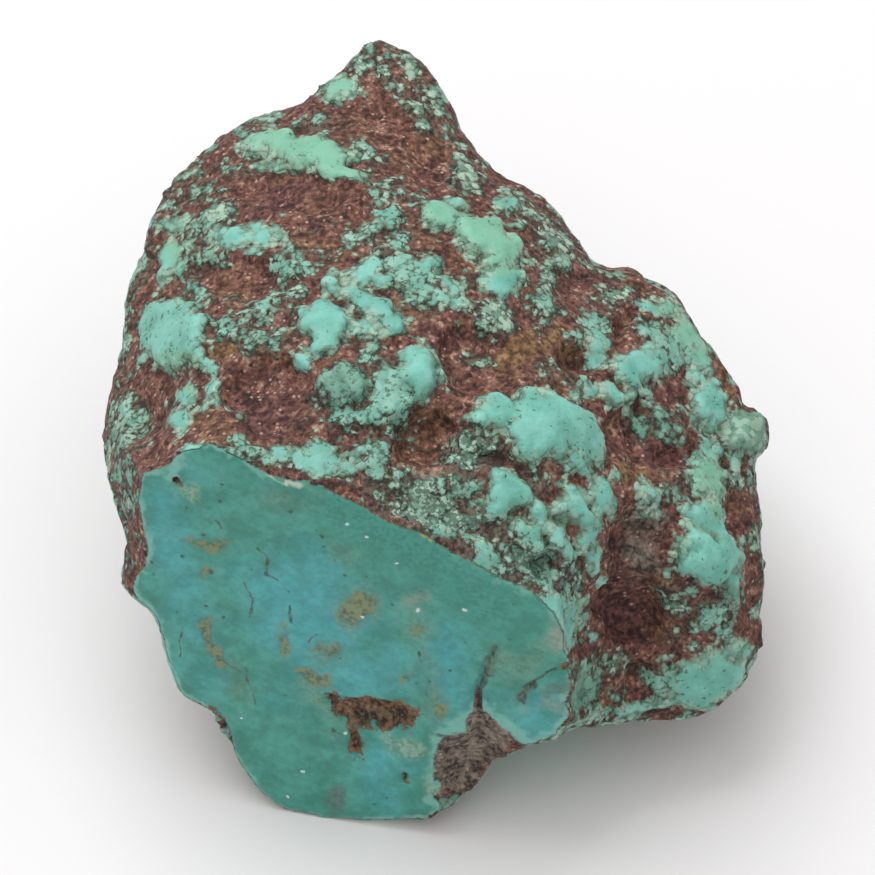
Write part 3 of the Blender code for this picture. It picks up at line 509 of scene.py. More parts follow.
class Form:
    """The stone on a grid: the distance to its skin, and what finds the site under a point of the skin."""

    def __init__(self, spacing):
        self.spacing = spacing
        axes = [np.arange(a, b, spacing) for a, b in zip(GRID_LOW, GRID_HIGH)]
        u, v, w = np.meshgrid(*axes, indexing="ij", sparse=True)
        u, v = np.broadcast_arrays(u, v)
        smooth, self.edge, self.inset = body(u, v, w)
        self.gradient = np.gradient(smooth, spacing)
        slope = np.maximum(np.sqrt(sum(part**2 for part in self.gradient)), FLATTEST)
        self.gradient = [part / slope for part in self.gradient]
        self.bare = smooth / slope
        near = (self.bare > -DEEPEST) & (self.bare < HIGHEST) & (smooth < 1.0) & (self.inset > -OVERHANG)
        points = np.stack([np.broadcast_to(a, near.shape)[near] for a in (u, v, w)], -1)
        outward = np.stack([part[near] for part in self.gradient], -1)
        sites = points - (self.bare[near][:, None] - ANCHOR) * outward
        edge, inset = (np.broadcast_to(a, near.shape)[near] for a in (self.edge, self.inset))
        self.field = self.bare.copy()
        self.field[near] -= relief(sites, edge, inset)
        nu, nv, nw = SAWN_NORMAL
        past_saw = (u - SAWN_POINT[0]) * nu + (v - SAWN_POINT[1]) * nv + (w - SAWN_POINT[2]) * nw
        height = ORIGIN[2] + v * UP[2] + w * OUT[2]
        self.field = WORN_EDGE * np.logaddexp(self.field / WORN_EDGE, past_saw / WORN_EDGE)
        self.field = np.maximum(self.field, -height)

    def at(self, grid, points):
        """A grid's value at points between its corners."""
        grid = grid[..., 0] if grid.shape[-1] == 1 else grid
        place = ((points - GRID_LOW) / self.spacing)[:, :grid.ndim]
        corner = np.floor(place).astype(int)
        return between_corners(place - corner, lambda step: grid[tuple((corner + step).T)])

    def sites(self, points):
        """Each skin point's place on the drawing's patches, the outline's depth beside it and its inset."""
        outward = np.stack([self.at(part, points) for part in self.gradient], -1)
        sites = points - (self.at(self.bare, points)[:, None] - ANCHOR) * outward
        return sites, self.at(self.edge, points), self.at(self.inset, points)


def no_corner_touching(inside):
    """Fills grid places until no two inside meet only across a diagonal, which would pinch the skin."""
    while True:
        before = inside.sum()
        for a, b in ((0, 1), (1, 2), (0, 2)):
            grid = np.moveaxis(inside, (a, b), (0, 1))
            p, q, r, s = grid[:-1, :-1], grid[1:, 1:], grid[1:, :-1], grid[:-1, 1:]
            slanted = (p == q) & (r == s) & (p != r)
            for corner in (p, q, r, s):
                corner |= slanted
        if inside.sum() == before:
            return inside


def skin(field, spacing):
    """A closed net of four-sided faces over the field's zero surface, with one vertex in each grid cell."""
    inside = no_corner_touching(field < 0.0)
    field = np.where(inside, np.minimum(field, -NEAREST_SKIN), np.maximum(field, NEAREST_SKIN))
    cells, places, faces = [], [], []
    for axis in range(3):
        here = tuple(slice(0, -1) if a == axis else slice(None) for a in range(3))
        there = tuple(slice(1, None) if a == axis else slice(None) for a in range(3))
        crossed = inside[here] != inside[there]
        start = np.argwhere(crossed)
        near, far = field[here][crossed], field[there][crossed]
        place = start.astype(float)
        place[:, axis] += near / (near - far)
        second, third = np.eye(3, dtype=int)[(axis + 1) % 3], np.eye(3, dtype=int)[(axis + 2) % 3]
        around = [start, start - second, start - second - third, start - third]
        face = np.stack([np.ravel_multi_index(cell.T, field.shape) for cell in around], 1)
        faces.append(np.where((near < 0.0)[:, None], face, face[:, ::-1]))
        cells.append(faces[-1].ravel())
        places.append(np.repeat(place, 4, 0))
    _, index = np.unique(np.concatenate(cells), return_inverse=True)
    places = np.concatenate(places)
    count = np.bincount(index)
    middle = np.stack([np.bincount(index, places[:, a]) / count for a in range(3)], 1)
    return GRID_LOW + middle * spacing, index.reshape(-1, 4)


def largest_part(verts, faces):
    """The largest connected part of a net, without the loose crumbs."""
    group = np.arange(len(verts))
    while True:
        before = group
        lowest = group[faces].min(axis=1)
        group = group.copy()
        np.minimum.at(group, faces.ravel(), np.repeat(lowest, 4))
        group = group[group]
        if np.array_equal(group, before):
            break
    kept = group == np.bincount(group).argmax()
    number = np.cumsum(kept) - 1
    return verts[kept], number[faces[kept[faces[:, 0]]]]


def vertex_normals(verts, faces):
    """The outward normal at each vertex of a net."""
    corners = verts[faces]
    across = np.cross(corners[:, 2] - corners[:, 0], corners[:, 3] - corners[:, 1])
    sums = [np.bincount(faces.ravel(), np.repeat(across[:, a], 4), len(verts)) for a in range(3)]
    total = np.stack(sums, 1)
    return total / np.maximum(np.linalg.norm(total, axis=1), 1e-12)[:, None]


def neighbours_mean(values, faces):
    """The mean of each vertex's neighbours along the net's edges."""
    start, end = faces.ravel(), np.roll(faces, -1, 1).ravel()
    count = np.bincount(start, minlength=len(values))
    sums = [np.bincount(start, values[end, a], len(values)) for a in range(values.shape[1])]
    return np.stack(sums, 1) / count[:, None]


# ----------------------------------------
# What the stone is made of at each place
# ----------------------------------------

# The looks of turquoise: how far it is broken up by matrix, how pale and how dusky it is.
LOOKS = {
    "bright": (0.08, 0.0, 0.0),
    "speckled": (0.35, 0.1, 0.1),
    "mottled": (0.60, 0.35, 0.15),
    "crumbly": (1.20, 0.8, 0.05),
    "pale": (0.60, 0.9, 0.0),
    "dusky": (0.50, 0.35, 0.9),
    # Pale rind along the outline, partly weathered and partly a painted sheen.
    "rind_and_sheen": (0.60, 0.90, 0.25),
    "knob": (0.0, 0.85, 0.4),
}
LOOK_MEASURES = ("broken", "pale", "dusky")
# The share of the hidden side's lumps that has each look.
HIDDEN_LOOKS = {"bright": 0.30, "speckled": 0.2, "mottled": 0.28, "pale": 0.14, "dusky": 0.08}
# The patches' borders there wander in and out this much, in bays of this size.
BAY_DEPTH = 1.8
BAY_SIZE = 2.2
# Looks blend into each other over about this depth.
LOOK_BLEND = 0.3
# On places that are drawn bare, the turquoise's border lies this much deeper.
BARENESS = 1.6
# A drawn place's border fades in between these depths inside it. Outside all turquoise, and where looks are
# weighed, no border counts as further off than the last.
FADE = (-0.4, 0.6)
FARTHEST_BORDER = 3.0
# What is drawn gives way to what is scattered within this depth to both sides of the outline.
LOOK_VIEW_BLEND = 1.0
# A corner belongs to the sawn face up to the first of these depths under it, and no longer from the second.
SAWN_SKIN = (0.15, 0.35)
# Clumps of pale rind run along the outline: partly weathered rind, and partly a painted sheen where the
# surface turns away at the outline. They reach this far in front of it and behind it, and the noise that
# forms them has hills of this size and rise. The level sets how much of the rim they cover.
RIND_SHEEN_FRONT = 0.4
RIND_SHEEN_BEHIND = 2.5
RIND_SHEEN_SIZE = 2.0
RIND_SHEEN_RISE = 1.6
RIND_SHEEN_LEVEL = -0.1

# Turquoise that doesn't stand proud, by its look: u, v, half length, half width and turn in degrees. Here
# and in the tables that follow, a turn of 0 is left out.
FLECKS = {
    "crumbly": [
        (3.2, -0.6, 2.0, 1.5), (8.5, -3.0, 0.9, 0.6), (3.5, -6.7, 1.3, 0.8), (-0.6, -5.2, 3.6, 2.0, -25),
        (7.4, -9.8, 3.4, 2.0, -30), (2.0, -3.0, 1.4, 1.0), (11.0, -11.6, 1.4, 1.6),
        (5.4, -10.6, 1.6, 0.8, -30), (-3.4, -5.2, 2.0, 0.6, -22),
    ],
    "bright": [
        (19.1, -18.8, 0.5, 0.7), (-10.8, 6.8, 0.8, 0.6),
    ],
    "speckled": [
        (10.8, 0.8, 2.2, 2.4), (0.8, -7.4, 1.4, 0.7, -30), (5.0, -9.4, 1.4, 0.7, -30),
        (9.6, -12.0, 1.2, 0.9, -40), (11.6, -13.2, 0.8, 2.0, 10),
    ],
    "mottled": [
        (-5.4, 23.4, 0.9, 0.7, -20), (-10.2, 26.4, 0.9, 0.6, 20), (-18.6, 20.9, 0.8, 0.5),
        (-25.2, 2.0, 1.0, 1.6), (18.0, 9.2, 1.8, 0.9), (18.3, 6.8, 1.6, 1.1), (22.0, -14.8, 2.0, 1.3),
        (18.4, -20.2, 1.2, 1.8), (13.2, 9.6, 1.5, 1.3), (-12.2, 11.5, 1.2, 0.5), (-5.4, 21.2, 0.8, 1.2),
        (-19.4, 17.0, 1.0, 1.6), (-3.1, 16.3, 1.4, 1.2), (-1.4, 12.7, 1.4, 1.8), (-19.8, 12.2, 1.2, 0.9),
        (23.0, -15.9, 1.2, 0.8), (21.5, -3.6, 1.8, 1.0), (2.4, -4.2, 1.6, 1.2), (9.4, -10.9, 2.4, 1.0),
        (3.0, -8.3, 1.6, 0.6, -30), (7.4, -10.9, 1.3, 0.6, -30),
    ],
    "pale": [
        (-1.2, 28.8, 2.6, 0.4, -52), (-3.0, 31.0, 1.6, 0.5, -25), (-6.4, 30.4, 1.2, 0.6, 20),
        (-3.2, 28.9, 0.7, 0.9), (-18.0, 14.8, 0.7, 0.5), (-13.5, 12.5, 0.8, 0.35), (-11.5, 12.3, 0.6, 0.35),
        (2.6, 12.8, 0.8, 0.5), (9.4, 14.1, 0.7, 0.7, -30), (5.5, 9.8, 0.9, 0.7),
        (19.0, -16.7, 0.5, 0.5, -40), (20.7, -17.6, 0.5, 0.5), (-19.8, 20.4, 0.9, 0.5),
        (-21.6, 19.4, 1.0, 0.7, 50), (-17.2, 22.3, 0.8, 0.6), (-15.2, 25.3, 0.9, 0.4, 10),
        (-7.0, 16.4, 0.7, 0.6), (-16.8, 12.3, 0.5, 0.3), (18.2, -13.4, 0.9, 1.5, 20),
        (15.2, -8.1, 0.5, 0.3), (3.5, 7.6, 0.8, 0.5),
    ],
    "dusky": [
        (14.8, -20.8, 0.8, 0.7), (-14.8, 3.1, 0.9, 0.6), (-9.8, 19.6, 1.0, 1.0), (-25.3, -2.2, 1.0, 3.0),
        (19.6, -12.6, 1.4, 0.7), (24.8, -1.4, 1.0, 1.0),
    ],
}

# Places that are bare of turquoise.
BARE = [
    (1.8, -25.0, 2.4, 3.8, -35), (24.4, -6.0, 0.8, 1.6), (-10.6, 20.4, 4.4, 1.6, -12),
    (-13.0, 4.4, 2.8, 2.4), (15.8, -11.6, 2.0, 4.0), (-3.4, 26.4, 2.0, 1.0, -50),
    (-16.6, -23.6, 0.8, 2.2, 20), (15.3, 10.2, 0.5, 1.7, 10), (-16.6, 13.2, 2.6, 0.8),
    (-1.0, 23.4, 2.0, 1.0, -40), (3.6, 5.2, 2.6, 1.0, -20), (-24.4, -2.0, 0.9, 2.2),
]

# Kinds of matrix, and the turquoise that leans to green: u, v, half length, half width and turn in degrees.
ZONES = {
    "ochre": [
        (8.0, 8.2, 3.2, 1.2, 20), (-2.9, 11.4, 0.5, 0.7), (13.5, 9.2, 1.2, 0.8), (16.0, -2.4, 2.2, 1.1),
        (-17.5, 7.9, 1.4, 1.2), (8.8, -10.2, 1.6, 1.4), (24.6, -0.7, 0.9, 0.8), (-6.9, 1.9, 0.9, 0.7),
        (-18.6, 15.2, 0.8, 0.5), (12.0, 8.6, 1.6, 0.7, 25),
    ],
    # Purple matrix: partly its own colour, and partly painted shade laid into the hollows.
    "purple_and_shade": [
        (19.6, -1.0, 2.0, 1.6), (5.0, -1.4, 1.7, 0.8), (-13.4, 3.0, 3.0, 2.4), (13.0, 6.8, 2.4, 1.2),
        (-13.8, 19.4, 3.0, 1.2), (16.2, -9.8, 1.8, 3.0), (16.0, -15.0, 2.2, 2.4),
        (4.2, -26.4, 2.8, 0.5, 48), (-11.8, 20.8, 3.2, 1.4, -18), (20.6, -5.2, 1.4, 1.4),
    ],
    "sandy": [
        (-19.7, 13.8, 0.8, 0.6), (-20.4, 12.8, 1.0, 0.9), (-16.6, 6.6, 1.2, 0.4), (-13.6, 5.3, 2.0, 0.8),
        (-5.1, 25.7, 0.7, 1.0, -30), (3.5, 7.6, 1.1, 0.7), (0.6, 8.2, 0.4, 1.0, -15),
        (19.8, -3.8, 1.0, 0.8), (-15.7, 20.7, 0.4, 1.2, -30), (1.6, 5.6, 0.6, 0.9), (18.4, -13.4, 1.0, 1.6),
        (17.0, -6.4, 0.6, 0.4),
    ],
    "greenish": [
        (-11.0, 23.4, 5.2, 2.4, -12), (-7.2, 21.8, 2.6, 2.0, -50), (4.6, 16.4, 4.4, 2.6, -34),
        (-2.0, 27.6, 3.6, 1.4, -42), (20.4, 9.4, 1.6, 3.6, 28), (-0.4, 18.0, 2.0, 1.6),
        (-8.4, 29.0, 2.0, 1.2, 20), (-20.6, 16.0, 2.0, 2.4), (22.4, -3.6, 1.8, 2.6), (-20.6, 5.4, 2.0, 1.4),
    ],
    "granular": [
        (2.0, -24.6, 3.4, 4.2, -30), (3.0, -0.6, 2.6, 2.1), (8.5, -3.0, 1.3, 1.0), (3.5, -6.7, 2.0, 1.4),
        (-0.6, -5.0, 4.4, 3.0, -20), (6.5, -9.0, 5.0, 3.4, -20), (17.2, -9.8, 0.9, 2.2, -8),
        (17.6, -6.4, 1.6, 1.2),
    ],
}
# The size of their fields on the hidden side, and the levels of the noise between which they fade in.
HIDDEN_ZONE_SIZE = 7.0
HIDDEN_ZONE_FADE = (0.35, 0.55)

# On the sawn face. Patches are u, v, half length, half width and turn in degrees, and stripes are a half
# width and the points that they run through.
SAWN_PATCHES = {
    "brown": [
        (-5.1, -22.0, 3.6, 1.3, -6), (-8.4, -20.9, 1.0, 0.5, -20), (-6.6, -24.4, 0.6, 1.6, 10),
        (-17.4, -23.9, 0.9, 2.3, 20), (-20.6, -3.4, 0.5, 0.35, -30), (-2.7, -27.1, 0.4, 0.4),
    ],
    "olive": [
        (-9.9, -19.1, 1.4, 0.7, -25), (-12.1, -16.3, 0.5, 1.1), (-6.3, -13.5, 1.7, 1.1, 40),
        (-9.4, -16.7, 0.5, 0.4), (-8.7, -17.2, 0.5, 0.4), (-8.0, -16.9, 0.4, 0.7), (-2.4, -19.2, 0.5, 0.4),
        (0.2, -21.7, 0.3, 0.9, 10), (-17.4, -8.5, 0.7, 0.5), (-18.6, -8.4, 1.1, 0.25, -8),
        (-18.0, -10.6, 0.5, 0.3), (-1.7, -15.2, 0.4, 0.3),
    ],
    "stain": [
        (-12.0, -4.9, 1.5, 0.8), (-7.6, -9.2, 1.1, 0.6, -25), (-8.8, -17.0, 1.5, 0.9),
        (-0.4, -20.2, 0.8, 2.6, 8), (-1.6, -15.2, 1.1, 0.8), (-6.3, -13.5, 2.2, 1.7, 30),
        (-9.6, -20.6, 1.8, 0.8, -40), (-16.0, -19.6, 0.8, 1.4, 20), (7.0, -17.9, 2.2, 0.9, 40),
        (5.0, -17.6, 1.2, 0.9), (6.6, -20.6, 0.6, 0.9, -20),
    ],
    "pale": [
        (-2.0, -25.0, 1.8, 1.2), (-7.8, -24.0, 0.9, 0.8), (-3.6, -24.4, 0.9, 0.5, -30),
        (-0.6, -28.0, 0.7, 1.2), (-19.6, -4.4, 1.6, 0.8, -40),
    ],
    "teal": [(-4.0, -6.6, 10.5, 2.8, -31), (3.6, -12.8, 3.2, 2.0, -40)],
    # Pink: a faint pinkish stain, and on the polished knob a painted reflection of its sheen.
    "pink_stain_and_sheen": [(9.8, -15.1, 0.8, 1.4, -25), (9.2, -21.3, 1.5, 0.6, -12), (-1.6, -12.6, 1.0, 0.6, 20)],
    "grey": [(-8.1, -29.0, 0.9, 1.1), (9.4, -19.9, 1.2, 0.8)],
    "blue": [
        (-9.8, -14.2, 5.4, 4.2, -25), (-6.8, -18.2, 3.6, 2.2), (-4.4, -17.8, 1.6, 1.6),
        (1.0, -18.4, 1.4, 2.8), (-4.2, -25.8, 1.3, 2.4), (-18.6, -17.4, 1.0, 1.4), (-20.6, -8.0, 0.9, 2.2),
        (8.4, -22.6, 1.6, 0.8),
    ],
}
SAWN_STRIPES = [("olive", (0.45, [(-18.5, -14.7), (-18.4, -15.7), (-17.8, -17.0), (-17.1, -17.8)]))]
# The brown holes are this deep, this far inside their border.
HOLE_DEPTH = 0.7
HOLE_SIDE = 0.5
# Dark lines and pale ones: a half width and the points that they run through. Grooves have a depth as well.
CUT_LINES = [
    (0.12, [(-14.2, -8.8), (-13.4, -9.4), (-13.5, -10.8), (-12.6, -11.2)]),
    (0.09, [(-17.5, -6.5), (-17.0, -7.2)]),
    (0.10, [(-11.7, -13.4), (-11.6, -14.6)]),
    # Across the middle of the brown hole: partly a slit, partly painted shadow.
    (0.22, [(-6.8, -22.6), (-5.0, -22.4), (-3.6, -22.7)]),
    (0.12, [(-8.9, -20.5), (-6.0, -20.9), (-4.2, -21.3)]),
    (0.09, [(-1.4, -17.1), (-1.3, -17.9)]),
    (0.10, [(10.5, -18.0), (9.3, -18.4), (8.3, -19.0), (7.3, -19.7)]),
    (0.34, [(7.4, -19.7), (6.9, -20.3), (6.4, -21.1)]),
    (0.07, [(-15.3, -11.5), (-14.6, -13.1), (-14.9, -14.3)]),
    (0.06, [(-20.4, -15.5), (-20.6, -17.5)]),
    (0.08, [(-16.9, -17.9), (-15.2, -19.0), (-14.5, -21.3)]),
    (0.07, [(-10.2, -16.2), (-9.6, -15.6)]),
    (0.16, [(4.6, -16.5), (4.3, -17.5)]),
    (0.40, [(4.2, -17.8), (3.9, -18.6)]),
    (0.24, [(3.8, -18.8), (3.3, -20.1), (3.2, -21.6)]),
    (0.15, [(0.1, -23.8), (1.2, -23.9), (2.4, -23.7)]),
]
CHIP_LINES = [
    (0.16, [(-13.3, -3.0), (-12.5, -3.5), (-11.9, -3.7)]),
    (0.26, [(-11.9, -3.6), (-11.3, -3.7), (-10.9, -3.8)]),
]
CUT_GROOVES = [
    (0.45, 0.35, [(10.5, -18.0), (9.3, -18.4), (8.3, -19.0), (7.3, -19.7), (6.7, -20.4), (6.4, -21.1)]),
    (0.45, 0.60, [(4.3, -17.3), (3.6, -18.4), (3.2, -19.8), (3.2, -21.8)]),
]
# Small spots: u, v and radius.
DARK_SPOTS = [
    (-19.8, -5.5, 0.16), (-17.0, -3.7, 0.18), (-17.1, -5.0, 0.20), (-18.5, -7.7, 0.18), (-20.2, -9.4, 0.16),
    (-17.9, -10.7, 0.26), (-18.3, -13.4, 0.16), (-17.0, -14.3, 0.18), (-22.7, -9.9, 0.20),
    (-11.6, -5.8, 0.20), (-9.1, -7.8, 0.20), (-9.0, -8.6, 0.16), (-7.3, -10.9, 0.18), (-3.6, -13.2, 0.15),
    (1.0, -18.5, 0.16), (-0.6, -19.4, 0.16), (4.8, -10.8, 0.17), (-8.3, -23.4, 0.28), (7.7, -12.0, 0.16),
]
WHITE_SPOTS = [
    (-7.1, -6.8, 0.16), (-5.6, -7.8, 0.14), (-3.2, -9.9, 0.14), (-1.6, -13.6, 0.18), (2.1, -13.6, 0.20),
    (-15.7, -22.4, 0.12), (-10.8, -26.8, 0.16), (-12.0, -28.9, 0.14), (-7.3, -23.6, 0.16),
    (-6.0, -14.2, 0.14),
]
YELLOW_SPOTS = [(-1.0, -7.7, 0.32), (-0.6, -8.1, 0.2)]


def inside_stripe(u, v, half_width, points):
    """How far inside the border of a stripe through the points each place lies, in millimetres."""
    gaps = [beside(u, v, start, end)[1] for start, end in zip(points, points[1:])]
    return half_width - np.min(gaps, axis=0)


def blended(rind_and_sheen, patches):
    """How deep each place lies inside the rind with its painted sheen or any patch of turquoise, and a mean
    of their looks.
    """
    deepest, total, sums = -FARTHEST_BORDER, 0.0, 0.0
    for depth_in, look in itertools.chain([(rind_and_sheen, "rind_and_sheen")], patches):
        deepest = np.maximum(deepest, depth_in)
        weight = np.exp(np.clip(depth_in, -FARTHEST_BORDER, FARTHEST_BORDER) / LOOK_BLEND)
        total = total + weight
        sums = sums + weight * np.array(LOOKS[look])[:, None]
    return np.vstack([deepest, sums / total])


def drawn_patches(u, v):
    """How deep each place lies inside each patch that is drawn, with the patch's look."""
    for table in (LUMPS, FLECKS):
        for look, rows in table.items():
            for row in rows:
                yield depth_inside(u, v, row), look


def hidden_patches(points):
    """The same for the patches that are scattered over the hidden side."""
    rng = np.random.default_rng(SEED + LOOK_SALT)
    bays = BAY_DEPTH * noise(points, BAY_SIZE, BAY_SALT)
    for size, _, apart in scattered_patches(points, *HIDDEN_LUMPS):
        yield size + bays - apart, rng.choice(list(HIDDEN_LOOKS), p=list(HIDDEN_LOOKS.values()))


def inside_any(points, rows):
    """How far inside the border of any of the drawn patches each point lies."""
    return np.max([depth_inside(points[:, 0], points[:, 1], row) for row in rows], axis=0)


def zone_shares(points, in_view):
    """For each kind of matrix, how far each place belongs to it."""
    shares = {}
    for salt, (zone, rows) in enumerate(ZONES.items()):
        hidden = ease(*HIDDEN_ZONE_FADE, noise(points, HIDDEN_ZONE_SIZE, ZONE_SALT + salt))
        shares[zone] = hidden + (ease(*FADE, inside_any(points, rows)) - hidden) * in_view
    return shares


def measured(form, verts):
    """Everything that the relief and the material want to know, at each vertex."""
    sites, edge, inset = form.sites(verts)
    front = sites[:, 2] - edge
    in_view = ease(-LOOK_VIEW_BLEND, LOOK_VIEW_BLEND, front)
    moved = swayed(sites)
    # The pale rind along the outline: partly weathered, partly a painted sheen.
    past = np.maximum(np.where(front > 0.0, inset - RIND_SHEEN_FRONT, -front - RIND_SHEEN_BEHIND), 0.0)
    rind_and_sheen = RIND_SHEEN_LEVEL + RIND_SHEEN_RISE * noise(moved, RIND_SHEEN_SIZE, RIND_SHEEN_SALT) - past
    drawn = blended(rind_and_sheen, drawn_patches(moved[:, 0], moved[:, 1]))
    hidden = blended(rind_and_sheen, hidden_patches(moved))
    turquoise, *looks = hidden + (drawn - hidden) * in_view
    turquoise -= BARENESS * ease(*FADE, inside_any(moved, BARE)) * in_view
    result = {"turquoise": turquoise + lobes(sites), "sawn": 1.0 - ease(*SAWN_SKIN, behind_saw(verts))}
    result["cut_rim"] = -form.at(form.bare, verts)
    result.update(zip(LOOK_MEASURES, looks))
    result.update(zone_shares(moved, in_view))
    for kind, rows in SAWN_PATCHES.items():
        result["cut_" + kind] = inside_any(verts, rows)
    for kind, stripe in SAWN_STRIPES:
        inside = inside_stripe(verts[:, 0], verts[:, 1], *stripe)
        result["cut_" + kind] = np.maximum(result["cut_" + kind], inside)
    return result


# ----------------------------------------
# The mesh
# ----------------------------------------

# Fine relief: the rise and the size of the hills of the granular matrix and of the smoother turquoise,
# which meet between these depths inside a patch.
MATRIX_HILLS = [(0.35, 3.2), (0.22, 1.4), (0.14, 0.8)]
TURQUOISE_HILLS = [(0.20, 3.0), (0.10, 1.3)]
HILLS_MEET = (-0.3, 0.3)
# Turquoise swells into rounded nodules, this far apart. The middle of one stands out by half of the rise,
# times the sum of its draw and the least. On unbroken turquoise nodules have only the last's share of that.
NODULE_SIZE = 1.1
NODULE_RISE = 0.35
NODULE_LEAST = 0.5
UNBROKEN = 0.3
# Hollows are found against a skin that is smoothed this many times.
HOLLOW_ROUNDS = 8


def hills(points, table, salt):
    """Height of the hills of one table, in millimetres."""
    return sum(rise * noise(points, size, salt + i) for i, (rise, size) in enumerate(table))


def roughened(verts, faces, measures):
    """The vertices with the fine relief that the solid leaves out."""
    free = 1.0 - measures["sawn"]
    stone = ease(*HILLS_MEET, measures["turquoise"])
    away, draw = cells(verts, NODULE_SIZE, NODULE_SALT)
    share = UNBROKEN + (1.0 - UNBROKEN) * np.minimum(measures["broken"], 1.0)
    nodules = NODULE_RISE * (NODULE_LEAST + draw) * (0.5 - away) * share
    rough = hills(verts, MATRIX_HILLS, MATRIX_SALT) * (1.0 - stone)
    rough += (hills(verts, TURQUOISE_HILLS, TURQUOISE_SALT) + nodules) * stone
    cut = HOLE_DEPTH * ease(0.0, HOLE_SIDE, measures["cut_brown"])
    for half_width, depth, points in CUT_GROOVES:
        cut += depth * ease(0.0, half_width, inside_stripe(verts[:, 0], verts[:, 1], half_width, points))
    return verts + (rough * free - cut * measures["sawn"])[:, None] * vertex_normals(verts, faces)


def hollowness(verts, faces):
    """How far each vertex lies below the smoothed skin round it, in millimetres."""
    smooth = verts
    for _ in range(HOLLOW_ROUNDS):
        smooth = 0.5 * (smooth + neighbours_mean(smooth, faces))
    return np.sum((smooth - verts) * vertex_normals(verts, faces), axis=1)


def nugget_mesh():
    """The stone's skin, with what the material wants to know at each of its corners."""
    form = Form(GRID)
    verts, faces = largest_part(*skin(form.field, form.spacing))
    measures = measured(form, verts)
    verts = roughened(verts, faces, measures)
    measures["hollow"] = hollowness(verts, faces)
    places = to_stone(verts)
    places[:, 2] = np.maximum(places[:, 2], 0.0)
    mesh = bpy.data.meshes.new("nugget")
    mesh.from_pydata((places * MM).tolist(), [], faces.tolist())
    mesh.shade_smooth()
    for name, values in measures.items():
        mesh.attributes.new(name, "FLOAT", "POINT").data.foreach_set("value", values.astype(np.float32))
    return mesh


# ----------------------------------------
# The finish
# ----------------------------------------


def colour(red, green, blue):
    """A colour given in the screen's 0 to 255, as the linear light that Blender wants."""
    screen = np.array([red, green, blue]) / 255.0
    linear = np.where(screen <= 0.04045, screen / 12.92, ((screen + 0.055) / 1.055) ** 2.4)
    return (*linear.tolist(), 1.0)


# The matrix: its browns from the darkest grain to the lightest. A grain's shade comes from the grains'
# noise, from the crumbs' noise and from its own draw, in these shares.
BROWNS = [
    (0.34, colour(36, 23, 22)), (0.43, colour(72, 43, 38)), (0.51, colour(103, 66, 57)),
    (0.59, colour(131, 92, 80)), (0.68, colour(184, 154, 134)),
]
SHADE_SHARES = (0.43, 0.42, 0.15)
# Kinds of matrix: the shades between which each goes from dark to light, how strong it is, and its dark and
# its light colour. Ochre drifts over the rest as well. As everywhere below, a step is told by its two ends,
# and then by its value before the first and past the second, where those aren't 0 and 1.
MATRIX_KINDS = {
    # Purple matrix, partly painted shade in the hollows.
    "purple_and_shade": (0.36, 0.66, 0.70, colour(46, 26, 28), colour(120, 76, 74)),
    "ochre": (0.36, 0.64, 0.75, colour(76, 55, 35), colour(148, 116, 72)),
    "granular": (0.34, 0.66, 0.80, colour(52, 45, 40), colour(150, 142, 128)),
}
OCHRE_DRIFT = (0.50, 0.66, 0.0, 0.28)
# Grains with the highest draws are sand, and a sandy place adds to the draw. Colour and relief fall off
# from a grain's middle.
SAND_GRAIN = colour(204, 176, 158)
SAND_DRAWS, SANDY_MORE = (0.945, 0.955), 0.45
SAND_SHINE, SAND_SWELL = (0.20, 0.55, 0.65, 0.0), (0.1, 0.8, 0.04, 0.0)

# Rough turquoise and the gaps between its crumbs. A pair is a dark colour and a light one.
FRESH = colour(98, 170, 154), colour(124, 194, 181)
GREENISH = colour(126, 182, 147)
# Painted shade: the darker green that turquoise takes in a hollow.
PAINTED_SHADE_GREEN = colour(76, 150, 126)
CRUMB = colour(98, 132, 112), colour(174, 196, 174)
DUSKY = colour(66, 108, 90), colour(108, 158, 136)
# Painted highlight: the pale colour that turquoise takes on a hump.
PAINTED_HIGHLIGHT = colour(176, 230, 214)
# Painted shade in the clefts between crumbs.
CLEFT_SHADE = colour(66, 92, 80)
SPECK = colour(68, 92, 78)
GAP = colour(54, 45, 39), colour(104, 94, 80)
DEEP = colour(38, 28, 25)
# How strong its tints are at most, and the levels of noise between which its tones change.
GREENISH_MOST, CRUMB_MOST, DUSKY_MOST = 0.65, 0.85, 0.75
TONE_FADE, GAP_FADE = (0.35, 0.65), (0.4, 0.62)
# Steps by the depth of a hollow, in millimetres: painted shade darkens turquoise in a hollow, a painted
# highlight makes it pale on a hump, where the depth is less than 0, and deep in a hollow all lies in painted
# shade.
PAINTED_SHADE_STEP, PAINTED_HIGHLIGHT_STEP = (-0.02, 0.20, 0.0, 0.6), (-0.30, -0.05, 0.30, 0.0)
DEEP_STEP = (0.06, 0.45, 0.0, 0.70)
# Painted shade darkens the clefts where crumbs end: this strong in the middle of a crust, and so much
# stronger at its border.
CLEFT_SHADE_STEP, CLEFT_SHADE_LEAST, CLEFT_SHADE_MORE = (0.35, 0.75), 0.02, 0.30
# Specks lie where a sum of the grains' noise, the clouds' noise and the brokenness is low.
SPECK_SHARES, SPECK_STEP = (0.7, 0.3, -0.13), (0.335, 0.385, 0.85, 0.0)
# How far a crust's border frays, in millimetres: everywhere, and more where the turquoise is broken. Of
# that the crumbs' draws and the crumbs' noise have these shares. The grains fray it on their own, and
# unbroken turquoise spreads a little over its border.
FRAY_LEAST, FRAY_BROKEN = 0.25, 1.6
DRAW_SHARE, CRUMB_SHARE = 0.8, 1.3
GRAIN_FRAY, SPREAD_STEP = 0.5, (0.1, 0.6, 0.25, -0.10)
